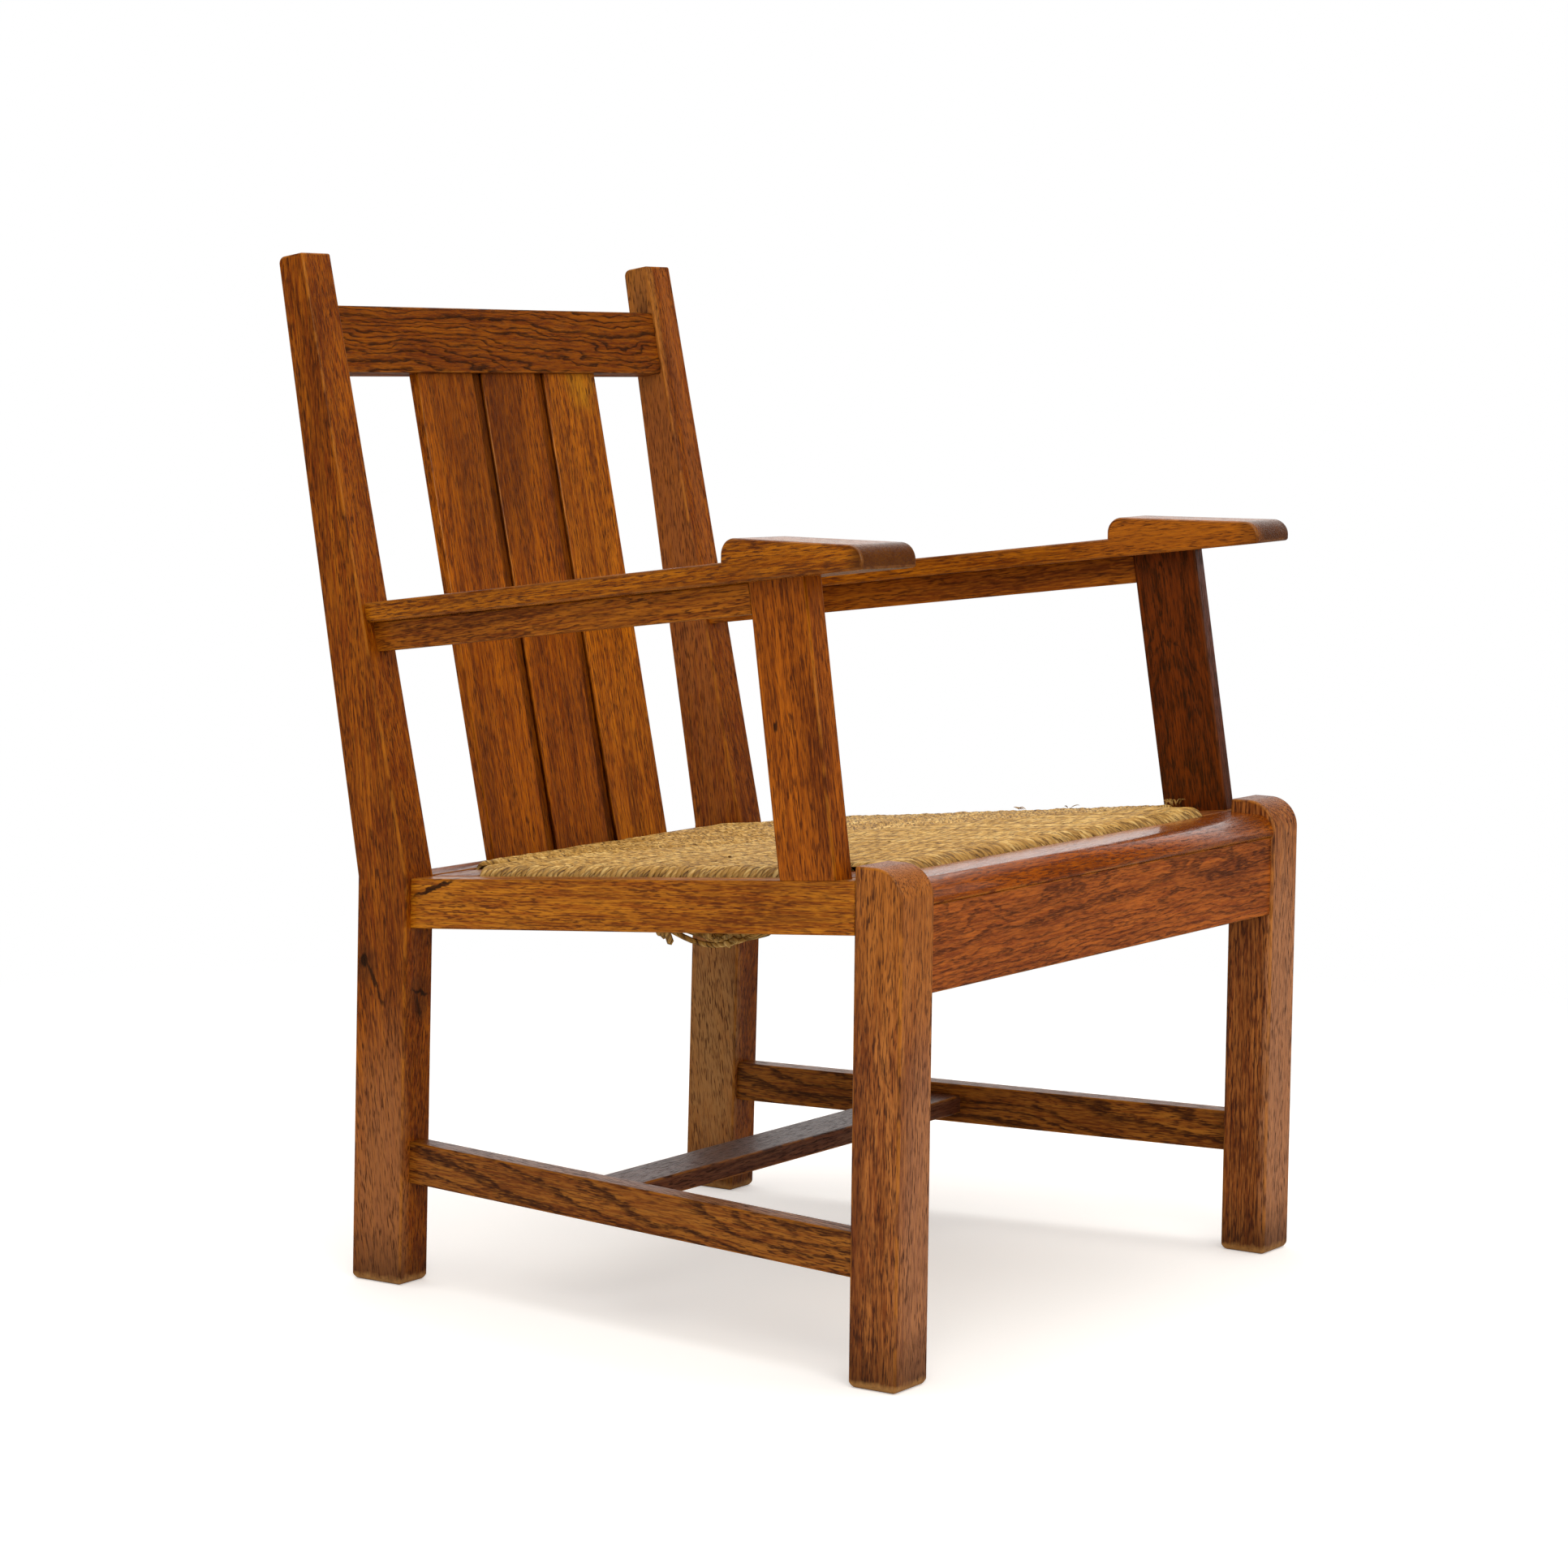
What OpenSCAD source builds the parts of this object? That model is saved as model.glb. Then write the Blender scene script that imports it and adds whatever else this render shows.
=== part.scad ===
// Open oak armchair with a raked slatted back, splayed sides and a lift-out rush seat.
// Millimetres. +Z is up, +Y is towards the back, the front of the chair faces -Y, and "left"
// is the -X side. The origin is on the floor, under the middle of the outer size.

/* [Legs and posts] */
// Width over the outer faces of the front legs
front_w = 640; // [580:5:700]
// Width over the outer faces of the rear posts
back_w = 518; // [480:2:560]
// Front face of the front legs to the back face of the rear posts at the knee
seat_d = 566; // [520:2:620]
// Width of a front leg, seen from the front
leg_w = 45; // [40:1:54]
// Depth of a front leg, front to back
leg_d = 42; // [38:1:50]
// Height of a front leg
leg_h = 393; // [388:1:430]
// Radius that rounds the front of a front leg's top
leg_round = 25; // [5:1:32]
// Width of a rear post
post_w = 36; // [32:1:44]
// Depth of a rear post from the floor to its knee
post_d = 51; // [46:1:60]
// Depth of a rear post at its top, where it has tapered
post_top_d = 26.5; // [25:0.5:36]
// Height of a rear post
post_h = 846; // [780:2:920]
// Height of the knee, where a rear post starts to rake back
knee_z = 337; // [320:1:350]
// How far the foot of a rear post kicks back behind its knee
post_kick = 6; // [0:1:20]
// Rake of the back face of a rear post, in degrees
rake = 9.6; // [6:0.2:13]
// Radius that rounds the back of a rear post's top
post_round = 6; // [2:0.5:10]
// Chamfer round each foot
foot_chamfer = 3; // [1:0.5:5]

/* [Seat rails] */
// Height of a side rail's top where it meets the front leg
rail_front_z = 382; // [372:1:388]
// Height of a side rail's top where it meets the rear post
rail_back_z = 338.4; // [326:0.2:344]
// Height of a side rail, top to bottom
rail_h = 41; // [36:1:50]
// Thickness of a side rail
rail_t = 25; // [22:1:30]
// Inset of a side rail's outer face from the outer face of the rear post
rail_inset = 6.5; // [2:0.5:8]
// Set-back of the rear seat rail from the front of the posts at the knee
back_rail_set = 3.5; // [2.5:0.5:5]
// Thickness of the rear seat rail
back_rail_t = 26; // [25:1:30]
// Height of the rear seat rail
back_rail_h = 42; // [36:1:60]
// Set-back of the apron's face from the front of the legs
apron_set = 2.5; // [0.5:0.5:6]
// Thickness of the apron
apron_t = 22; // [18:1:26]
// Height of the apron
apron_h = 67; // [55:1:80]
// Depth of the nose bar on top of the apron, front to back
nose_d = 46; // [40:1:52]
// Thickness of the nose bar
nose_t = 18.5; // [14:0.5:22]
// Radius of the nose bar's front edge
nose_round = 16; // [4:1:20]

/* [Back] */
// Distance from the tops of the posts down to the top of the crest rail
crest_drop = 41; // [26:1:106]
// Height of the crest rail, measured up the rake
crest_h = 56; // [48:1:80]
// Thickness of the crest rail
crest_t = 20; // [17:1:21]
// How much more upright the back stands than the front faces of the posts, in degrees
back_upright = 0.5; // [0:0.1:0.8]
// Set-back of the crest rail from the plane of the back, which starts at the posts' knees
crest_set = 7; // [6:0.5:8]
// Width of the face of one back slat
slat_w = 76; // [60:1:84]
// Width of the recessed strip between two slats
slat_gap = 12; // [6:1:18]
// Thickness of a slat
slat_t = 9; // [8:0.5:9.5]
// Set-back of the slats' faces from the crest rail's face
slat_set = 4.5; // [3.5:0.5:6]
// Depth of a slat's housing in the crest rail and in the rear seat rail
slat_house = 12; // [8:1:18]

/* [Arms] */
// Height of an arm's top at its tip, without the raised pad
arm_tip_z = 629.8; // [600:0.2:660]
// Height of an arm's top where it meets the rear post
arm_back_z = 561.6; // [530:0.2:590]
// Thickness of an arm's board
arm_t = 16.7; // [15:0.1:20]
// Width of an arm at its tip
arm_tip_w = 67.6; // [56:0.2:80]
// Width of an arm at the rear post
arm_back_w = 43; // [38:1:50]
// How far an arm's tip overhangs the outer face of the side rail
arm_tip_over = 18.5; // [8:0.5:26]
// How far an arm's back end overhangs the outer face of the side rail
arm_back_over = 8; // [4:0.5:10]
// How far an arm's tip reaches in front of the back face of the front leg
arm_reach = 18.8; // [5:0.2:40]
// How much further back the inner corner of an arm's tip lies than its outer corner
arm_skew = 4.6; // [0:0.2:10]
// Length of the raised pad on an arm
pad_l = 143; // [110:1:180]
// Rise of the pad above the board at the tip
pad_rise = 1; // [0.5:0.5:8]
// Radius of the pad's front and back ends
pad_round = 13; // [4:1:15]
// Height of the rail under an arm
arm_rail_h = 24; // [20:1:30]
// Thickness of the rail under an arm
arm_rail_t = 17; // [14:1:18]
// Depth of an arm support, front to back
support_d = 57; // [50:1:70]
// Thickness of an arm support
support_t = 20; // [16:1:22]
// Lean of an arm support, in degrees
support_lean = 8.8; // [3:0.2:11]
// Distance from a front leg to the foot of the arm support
support_y = 18.5; // [8:0.5:24]

/* [Stretchers] */
// Height of a side stretcher's top at the front leg
stretcher_front_z = 117.5; // [90:0.5:180]
// Height of a side stretcher's top at the rear post
stretcher_back_z = 119.5; // [90:0.5:180]
// Height of a side stretcher, top to bottom
stretcher_h = 34.5; // [30:0.5:45]
// Thickness of a side stretcher
stretcher_t = 20; // [17:1:24]
// Inset of a side stretcher's outer face from the side rail's outer face
stretcher_inset = 3; // [0:0.5:6]
// Width of the cross stretcher, which lies flat
cross_w = 44.5; // [30:0.5:60]
// Thickness of the cross stretcher
cross_t = 16; // [12:0.5:18]
// Distance from the front of the legs to the middle of the cross stretcher
cross_y = 321; // [200:1:400]
// Depth of the cross stretcher's top below the side stretchers' tops
cross_drop = 10; // [6:0.5:12]

/* [Seat] */
// Gap round the lift-out seat
seat_gap = 2; // [1:0.5:4]
// Side of the square corner blocks of the seat frame
block_w = 50; // [44:1:60]
// Thickness of the corner blocks
block_t = 24; // [20:1:26]
// Width of the rails of the seat frame
frame_w = 26; // [20:1:30]
// Thickness of the rails of the seat frame
frame_t = 22; // [18:1:24]
// Thickness of the rush wrapped round the seat frame
rush_t = 7.5; // [6:0.5:10]
// Radius of the rolled edge of the rush
rush_roll = 14; // [8:1:16]
// Rise of the four rush panels from their edges to the middle
rush_crown = 2; // [1:0.5:8]
// Side of the glue blocks that carry the seat
glue_w = 44; // [30:1:48]
// Thickness of the glue blocks
glue_t = 16; // [12:1:20]
// Length of the loop of loose rush under the seat
tail_l = 100; // [60:1:120]
// Thickness of the loop of loose rush
tail_t = 9; // [6:0.5:12]
// Sag of the loop below the rush
tail_sag = 32; // [14:1:40]
// Distance from the fronts of the legs to the loose rush ends, along the seat
tail_y = 250; // [150:1:300]

/* [Joinery] */
// Length of a tenon in a leg or post
tenon_l = 18; // [14:1:19]
// Thickness of a tenon
tenon_t = 10; // [8:0.5:12]
// Width of the shoulder above and below a tenon
shoulder = 6; // [4:0.5:8]
// Length of the short tenons of the arms, arm rails and cross stretcher
stub_l = 10; // [6:0.5:12]
// Thickness of the short tenons
stub_t = 7; // [5:0.5:8]
// Clearance round a tenon, tongue or housed end
fit = 0.2; // [0.1:0.05:0.4]

/* [Hidden] */
$fn = 64;
// Longer than anything that a cutting shape has to pass
far = 1000;
// Overlap that keeps a cut clear of the face it opens
eps = 1;
// Lets a rounding cross two flat faces at a small angle instead of just touching them
cross = 0.02;
oak = "#8a4a20";
slat_oak = "#a3591f";
rush = "#c9a55c";

// The rear posts in side view
knee_back = seat_d;
knee_front = seat_d - post_d;
foot_back = knee_back + post_kick;
foot_front = knee_front + post_kick;
rise = post_h - knee_z;
top_front = knee_back + rise * tan(rake) - post_top_d;
front_rake = atan((top_front - knee_front) / rise);
back_rake = front_rake - back_upright;
top_back = (knee_back + rise * tan(rake) + top_front * pow(tan(rake), 2)) / (1 + pow(tan(rake), 2));
top_back_z = post_h - (top_back - top_front) * tan(rake);
// Front to back size of the whole chair, to the rounded back of the posts' tops
whole_d = top_back - post_round * (cos(rake) + sin(rake) - 1);
// Half widths at the inner faces of the legs and posts
leg_in = front_w / 2 - leg_w;
post_in = back_w / 2 - post_w;
// The splay of the sides, and their length along it between leg and post
side_back_x = back_w / 2 - rail_inset;
splay = atan((front_w / 2 - side_back_x) / (knee_front - leg_d));
side_run = (knee_front - leg_d) / cos(splay);
arm_run = (post_front(arm_back_z) - leg_d) / cos(splay);
arm_fall = (arm_tip_z - arm_back_z) / (arm_run + arm_reach);
nose_top_z = rail_front_z - 0.5;
apron_top_z = nose_top_z - nose_t;
nose_set = 0.5;
nose_back = nose_d + nose_set;
pad_top_z = arm_tip_z + pad_rise;
back_rail_y = knee_front + back_rail_set;
seat_slope = atan((rail_front_z - rail_back_z) / (knee_front - leg_d));
// Front and back of the seat, and half its width there
seat_front = nose_back + seat_gap;
seat_back = knee_front - seat_gap;
seat_front_x = inner_rail_x(seat_front) - seat_gap;
seat_back_x = inner_rail_x(seat_back) - seat_gap;
slats_w = 3 * slat_w + 2 * slat_gap;
rush_clear = 0.3;

// Front face of a rear post at height z
function post_front(z) = z < knee_z ? foot_front - post_kick * z / knee_z
    : knee_front + (z - knee_z) * tan(front_rake);
// Height at distance y along a side, on the line from zf at the leg to zb at the rear post
function side_z(zf, zb, y) = zf + (zb - zf) * y / side_run;
function rail_top(y) = side_z(rail_front_z, rail_back_z, y);
function arm_top(y) = arm_tip_z - arm_fall * (y + arm_reach);
function arm_under(y) = arm_top(y) - arm_t;
// Distance from the middle of the chair to the inner face of a side rail at depth y
function inner_rail_x(y) = front_w / 2 - rail_t / cos(splay) - (y - leg_d) * tan(splay);
// Where the arm support's edge, which starts at y on the side rail, meets the arm
function support_top_z(y) = (arm_under(y) + arm_fall * tan(support_lean) * rail_top(y))
    / (1 + arm_fall * tan(support_lean));
function support_top_y(y) = y + (support_top_z(y) - rail_top(y)) * tan(support_lean);

// Moves the chair, drawn from the front of its legs, to stand over the origin
module chair() translate([0, -whole_d / 2, 0]) children();

// Mirrors a right-hand piece for the left side
module on_side(right) mirror([right ? 0 : 1, 0, 0]) children();

// A side view, drawn as y and z, made w wide along X
module along_x(w) rotate([90, 0, 90]) linear_extrude(w, center = true) children();

// What a rounding of radius r takes off the corner of a square end
module corner_cut(r) translate([cross, cross]) difference() { square(r + eps); circle(r); }

// The frame of the right side: Y runs back along the side rail's outer face
module side_frame() translate([front_w / 2, leg_d, 0]) rotate(splay) children();

// The frame of the back: Z runs up the slats, close to the raked front faces of the posts
module back_frame() translate([0, knee_front, knee_z]) rotate([-back_rake, 0, 0]) children();

// The frame of the seat: its XY plane lies on the tops of the side rails
module seat_frame() translate([0, leg_d, rail_front_z]) rotate([-seat_slope, 0, 0]) children();

// All that lies in front of the rear posts, and reach further into them
module before_posts(reach = 0) along_x(far) polygon([[-far, -eps], [foot_front + reach, -eps],
    [knee_front + reach, knee_z], [top_front + reach, post_h], [-far, post_h]]);

// All that lies behind the front legs, and reach further into them
module behind_legs(reach = 0) translate([-far, leg_d - reach, 0]) cube([2 * far, far, far]);

// A straight bar along a side, from x on the side's frame and t thick inwards
module side_bar(x, t, zf, zb, h) {
    y0 = -2 * leg_d;
    y1 = side_run + 2 * post_d;
    translate([x - t / 2, 0, 0]) along_x(t) polygon([[y0, side_z(zf, zb, y0)],
        [y1, side_z(zf, zb, y1)], [y1, side_z(zf, zb, y1) - h], [y0, side_z(zf, zb, y0) - h]]);
}

// The tenons at both ends of such a bar, or with clear the mortises for them
module side_tenon(x, t, zf, zb, h, clear = 0) intersection() {
    side_frame() side_bar(x - (t - tenon_t) / 2 + clear, tenon_t + 2 * clear,
        zf - shoulder + clear, zb - shoulder + clear, h - 2 * shoulder + 2 * clear);
    before_posts(tenon_l + clear);
    behind_legs(tenon_l + clear);
}

// A bar between leg and post, with its tenons
module side_member(x, t, zf, zb, h) {
    intersection() {
        side_frame() side_bar(x, t, zf, zb, h);
        before_posts();
        behind_legs();
    }
    side_tenon(x, t, zf, zb, h);
}

module seat_rail_tenon(clear) side_tenon(0, rail_t, rail_front_z, rail_back_z, rail_h, clear);

module stretcher_tenon(clear) side_tenon(-stretcher_inset, stretcher_t,
    stretcher_front_z, stretcher_back_z, stretcher_h, clear);

// Tenon of a rail across the chair: half its shoulder length, its middle in Y and its heights
module cross_tenon(half, y, z0, z1, clear = 0, length = tenon_l, thick = tenon_t)
    translate([-half - length - clear, y - thick / 2 - clear, z0 - clear])
        cube([2 * (half + length + clear), thick + 2 * clear, z1 - z0 + 2 * clear]);

module apron_tenon(clear = 0) cross_tenon(leg_in, apron_set + apron_t / 2,
    apron_top_z - apron_h + shoulder, apron_top_z - shoulder, clear, tenon_l + 4, 0.8 * tenon_t);

module back_rail_tenon(clear = 0) cross_tenon(post_in, back_rail_y + back_rail_t - shoulder,
    rail_back_z - back_rail_h + shoulder, rail_back_z - shoulder, clear, tenon_l, stub_t);

// The crest rail's heights up the rake, and its tenons
crest_z1 = (post_h - crest_drop - knee_z) / cos(back_rake);
crest_z0 = crest_z1 - crest_h;
module crest_tenon(clear = 0) back_frame() cross_tenon(post_in, crest_set + crest_t / 2,
    crest_z0 + shoulder, crest_z1 - shoulder, clear, tenon_l, stub_t);

// The legs' and posts' outlines from the front, with the chamfers of their feet
module front_outline(w, h) polygon([[-w / 2 + foot_chamfer, 0], [w / 2 - foot_chamfer, 0],
    [w / 2, foot_chamfer], [w / 2, h], [-w / 2, h], [-w / 2, foot_chamfer]]);

module front_leg(right) color(oak) chair() on_side(right) difference() {
    intersection() {
        translate([front_w / 2 - leg_w / 2, 0, 0]) along_x(leg_w) difference() {
            polygon([[foot_chamfer, 0], [leg_d - foot_chamfer, 0], [leg_d, foot_chamfer],
                [leg_d, leg_h], [0, leg_h], [0, foot_chamfer]]);
            translate([leg_round, leg_h - leg_round]) rotate(90) corner_cut(leg_round);
        }
        translate([front_w / 2 - leg_w / 2, far / 2, 0]) rotate([90, 0, 0])
            linear_extrude(far) front_outline(leg_w, leg_h + eps);
    }
    seat_rail_tenon(fit);
    stretcher_tenon(fit);
    apron_tenon(fit);
}

module rear_post(right) color(oak) chair() on_side(right) difference() {
    intersection() {
        translate([back_w / 2 - post_w / 2, 0, 0]) along_x(post_w) difference() {
            polygon([[foot_front + foot_chamfer, 0], [foot_back - foot_chamfer, 0],
                [foot_back, foot_chamfer], [knee_back, knee_z], [top_back, top_back_z],
                [top_front, post_h], [knee_front, knee_z], [foot_front, foot_chamfer]]);
            translate([top_back, top_back_z]) rotate(-rake)
                translate([-post_round, -post_round]) corner_cut(post_round);
        }
        translate([back_w / 2 - post_w / 2, far + eps, 0]) rotate([90, 0, 0])
            linear_extrude(far) front_outline(post_w, post_h + eps);
    }
    seat_rail_tenon(fit);
    stretcher_tenon(fit);
    back_rail_tenon(fit);
    crest_tenon(fit);
    arm_tenon(fit);
    arm_rail_tenon(fit);
}

module side_seat_rail(right) color(oak) chair() on_side(right) difference() {
    side_member(0, rail_t, rail_front_z, rail_back_z, rail_h);
    support_tenons(fit);
}

module side_stretcher(right) color(oak) chair() on_side(right) difference() {
    side_member(-stretcher_inset, stretcher_t, stretcher_front_z, stretcher_back_z, stretcher_h);
    cross_stretcher_tenon(fit);
}

// The cross stretcher runs between the inner faces of the side stretchers
cross_z = side_z(stretcher_front_z, stretcher_back_z, cross_y - leg_d) - cross_drop;
module between_stretchers(reach) for (right = [false, true]) on_side(right)
    translate([-far, 0, 0]) intersection() {
        translate([far, 0, 0]) side_frame()
            translate([-stretcher_inset - stretcher_t - far + reach, -far, 0]) cube([far, 2 * far, far]);
        translate([far, 0, 0]) cube([far, far, far]);
    }

module cross_stretcher_tenon(clear = 0) intersection() {
    between_stretchers(stub_l + clear);
    translate([-far, cross_y - cross_w / 2 + shoulder - clear, cross_z - (cross_t + stub_t) / 2 - clear])
        cube([2 * far, cross_w - 2 * shoulder + 2 * clear, stub_t + 2 * clear]);
}

module cross_stretcher() color(oak) chair() {
    intersection() {
        between_stretchers(0);
        translate([-far, cross_y - cross_w / 2, cross_z - cross_t]) cube([2 * far, cross_w, cross_t]);
    }
    cross_stretcher_tenon();
}

module front_apron() color(oak) chair() {
    translate([-leg_in, apron_set, apron_top_z - apron_h]) cube([2 * leg_in, apron_t, apron_h]);
    apron_tenon();
}

// The nose bar lies on the apron between the front legs, with its front edge rounded
module nose_bar() color(oak) chair() along_x(2 * leg_in) difference() {
    translate([nose_set, apron_top_z]) square([nose_d, nose_t]);
    translate([nose_set + nose_round, nose_top_z - nose_round]) rotate(90) corner_cut(nose_round);
}

module rear_seat_rail() color(oak) chair() difference() {
    union() {
        translate([-post_in, back_rail_y, rail_back_z - back_rail_h])
            cube([2 * post_in, back_rail_t, back_rail_h]);
        back_rail_tenon();
    }
    slat_housing();
}

// The slats' lower and upper ends, up the rake
slat_z0 = (rail_back_z - knee_z) / cos(back_rake) - slat_house;
slat_z1 = crest_z0 + slat_house;
slat_y = crest_set + slat_set;
slat_pitch = slat_w + slat_gap;
tongue_t = slat_t * 0.4;
tongue_y = slat_t * 0.35;
groove_d = 6;

// Room for the ends of the three slats
module slat_housing() back_frame() translate([-slats_w / 2 - fit, slat_y - fit, slat_z0 - fit])
    cube([slats_w + 2 * fit, slat_t + 2 * fit, slat_z1 - slat_z0 + 2 * fit]);

module crest_rail() color(oak) chair() difference() {
    union() {
        back_frame() translate([-post_in, crest_set, crest_z0]) cube([2 * post_in, crest_t, crest_h]);
        crest_tenon();
    }
    slat_housing();
}

// One slat: its tongue shows in the strip between two slats and enters the next one's groove
module back_slat(place, tongue, groove) color(slat_oak) chair() back_frame()
    translate([place * slat_pitch, slat_y, slat_z0]) difference() {
        union() {
            translate([-slat_w / 2, 0, 0]) cube([slat_w, slat_t, slat_z1 - slat_z0]);
            if (tongue) translate([0, tongue_y, 0])
                cube([slat_w / 2 + slat_gap + groove_d - 2 * fit, tongue_t, slat_z1 - slat_z0]);
        }
        if (groove) translate([-slat_w / 2 - eps, tongue_y - fit, -eps])
            cube([groove_d + eps, tongue_t + 2 * fit, slat_z1 - slat_z0 + 2 * eps]);
    }

// A strip under the line of an arm's top, from y0 to y1 and h high
module arm_strip(y0, y1, h)
    polygon([[y0, arm_top(y0)], [y1, arm_top(y1)], [y1, arm_top(y1) - h], [y0, arm_top(y0) - h]]);

// The arm in side view: a thin board with a raised, level pad at its tip
module arm_outline() difference() {
    y0 = -arm_reach - eps;
    y1 = arm_run + 2 * post_d;
    pad_back = pad_l - arm_reach;
    polygon([[y0, arm_under(y0)], [y1, arm_under(y1)], [y1, arm_top(y1)],
        [pad_back, arm_top(pad_back)], [pad_back, pad_top_z], [y0, pad_top_z]]);
    translate([pad_back - pad_round, pad_top_z - pad_round]) corner_cut(pad_round);
}

// The arm from above, drawn past the rear post
module arm_plan() {
    y1 = arm_run + post_d;
    grow = post_d / (arm_run + arm_reach);
    over = arm_back_over + (arm_back_over - arm_tip_over) * grow;
    inner = arm_back_over - arm_back_w + (arm_back_over - arm_back_w - arm_tip_over + arm_tip_w) * grow;
    polygon([[arm_tip_over, -arm_reach], [over, y1], [inner, y1],
        [arm_tip_over - arm_tip_w, -arm_reach + arm_skew]]);
}

// The arm's tenon in the rear post, in the middle of the post's face
module arm_tenon(clear = 0) intersection() {
    side_frame() translate([0, 0, clear - (arm_t - stub_t) / 2]) along_x(far)
        arm_strip(arm_run - post_d, arm_run + post_d, stub_t + 2 * clear);
    before_posts(stub_l + clear);
    translate([post_in + shoulder - clear, 0, 0]) cube([post_w - 2 * shoulder + 2 * clear, far, far]);
}

// All that lies behind the arm's tip, with its upper edge rounded
module behind_tip() translate([arm_tip_over, -arm_reach, 0]) rotate(-atan(arm_skew / arm_tip_w))
    along_x(far) difference() {
        square([far, pad_top_z + eps]);
        translate([pad_round, pad_top_z - pad_round]) rotate(90) corner_cut(pad_round);
    }

module arm(right) color(oak) chair() on_side(right) {
    difference() {
        intersection() {
            side_frame() along_x(far) arm_outline();
            side_frame() linear_extrude(far) arm_plan();
            side_frame() behind_tip();
            before_posts();
        }
        support_tenons(fit);
    }
    arm_tenon();
}

// An arm support in side view, leaning back from the side rail to the arm
module support_outline() {
    y0 = support_y;
    y1 = support_y + support_d;
    polygon([[y0, rail_top(y0)], [y1, rail_top(y1)], [support_top_y(y1), support_top_z(y1)],
        [support_top_y(y0), support_top_z(y0)]]);
}

// The tenons of an arm support: one down into the side rail and one up into the arm
module support_tenons(clear = 0) side_frame() {
    y0 = support_y + shoulder;
    y1 = support_y + support_d - shoulder;
    translate([-support_t / 2, 0, 0]) along_x(stub_t + 2 * clear) {
        polygon([[y0 - clear, rail_top(y0) + eps], [y1 + clear, rail_top(y1) + eps],
            [y1 + clear, rail_top(y1) - tenon_l - clear], [y0 - clear, rail_top(y0) - tenon_l - clear]]);
        polygon([[support_top_y(y0) - clear, support_top_z(y0) - eps],
            [support_top_y(y1) + clear, support_top_z(y1) - eps],
            [support_top_y(y1) + clear, support_top_z(y1) + stub_l - 1 + clear],
            [support_top_y(y0) - clear, support_top_z(y0) + stub_l - 1 + clear]]);
    }
}

module arm_support(right) color(oak) chair() on_side(right) difference() {
    union() {
        side_frame() translate([-support_t / 2, 0, 0]) along_x(support_t) support_outline();
        support_tenons();
    }
    arm_rail_tenon(fit);
}

// The rail under an arm, from the arm support to the rear post
module arm_rail_bar(x, t, drop, h) translate([x - t / 2, 0, -arm_t - drop]) along_x(t)
    arm_strip(0, arm_run + post_d, h);

// All that lies behind the arm support, and reach further into it
module behind_support(reach = 0) along_x(far) {
    y1 = support_y + support_d;
    polygon([[y1 - reach, rail_top(y1)], [far, rail_top(y1)], [far, far],
        [y1 - reach + (far - rail_top(y1)) * tan(support_lean), far]]);
}

module arm_rail_tenon(clear = 0) intersection() {
    side_frame() arm_rail_bar(-(arm_rail_t - stub_t) / 2 + clear, stub_t + 2 * clear,
        shoulder - clear, arm_rail_h - 2 * shoulder + 2 * clear);
    side_frame() behind_support(stub_l + clear);
    before_posts(stub_l + clear);
}

module arm_rail(right) color(oak) chair() on_side(right) {
    intersection() {
        side_frame() arm_rail_bar(0, arm_rail_t, 0, arm_rail_h);
        side_frame() behind_support();
        before_posts();
    }
    arm_rail_tenon();
}

// A layer of the seat between two depths below the tops of the side rails
module seat_layer(top, bottom) seat_frame() translate([-far, -far, -bottom])
    cube([2 * far, 2 * far, bottom - top]);

// The seat's outline on its right side, from above, drawn in by inset
module seat_outline(inset = 0, front = seat_front, back = seat_back) polygon([
    [0, front], [seat_x(front) - inset, front], [seat_x(back) - inset, back], [0, back]]);
function seat_x(y) = inner_rail_x(y) - seat_gap;

// The corner of the right side that a corner block fills. The rush keeps clear of it,
// and past takes it on beyond the edges of the seat.
module block_zone(front, clear = 0, past = 0) linear_extrude(far) difference() {
    seat_outline(-past, front ? seat_front - past : seat_back - block_w - clear,
        front ? seat_front + block_w + clear : seat_back + past);
    seat_outline(block_w + clear, -far, 2 * far);
}

// A corner block of the seat frame, mortised for two rails
module seat_block(right, front) color(oak) chair() on_side(right) difference() {
    intersection() {
        seat_layer(0, block_t);
        block_zone(front);
    }
    seat_frame_side(fit, block_w / 2);
    seat_frame_cross(front, fit, block_w / 2);
}

// A front or rear rail of the seat frame, reaching into the corner blocks
module seat_frame_cross(front, clear = 0, reach = block_w / 2 - fit) intersection() {
    seat_layer(-clear, frame_t + clear);
    y0 = front ? seat_front + rush_t : seat_back - rush_t - frame_w;
    for (right = [false, true]) on_side(right) linear_extrude(far) intersection() {
        seat_outline(block_w - reach - clear, seat_front, seat_back);
        translate([-eps, y0 - clear]) square([far, frame_w + 2 * clear]);
    }
}

// A side rail of the seat frame, reaching into the corner blocks short of the cross rails
module seat_frame_side(clear = 0, reach = 0) intersection() {
    seat_layer(-clear, frame_t + clear);
    linear_extrude(far) difference() {
        seat_outline(rush_t - clear, seat_front + block_w - stub_l - clear,
            seat_back - block_w + stub_l + clear);
        seat_outline(rush_t + frame_w + clear, seat_front, seat_back);
    }
}

// Section of the rush from its rolled edge towards -X: it rises a little over the distance half
module rush_section(half) difference() {
    polygon([[0, -frame_t - rush_t], [0, rush_t], [-rush_roll, rush_t], [-half, rush_t + rush_crown],
        [-3 * half, rush_t + rush_crown], [-3 * half, -frame_t - rush_t]]);
    translate([-rush_roll, rush_t - rush_roll]) corner_cut(rush_roll);
    translate([-rush_roll, -frame_t - rush_t + rush_roll]) rotate(-90) corner_cut(rush_roll);
}

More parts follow.
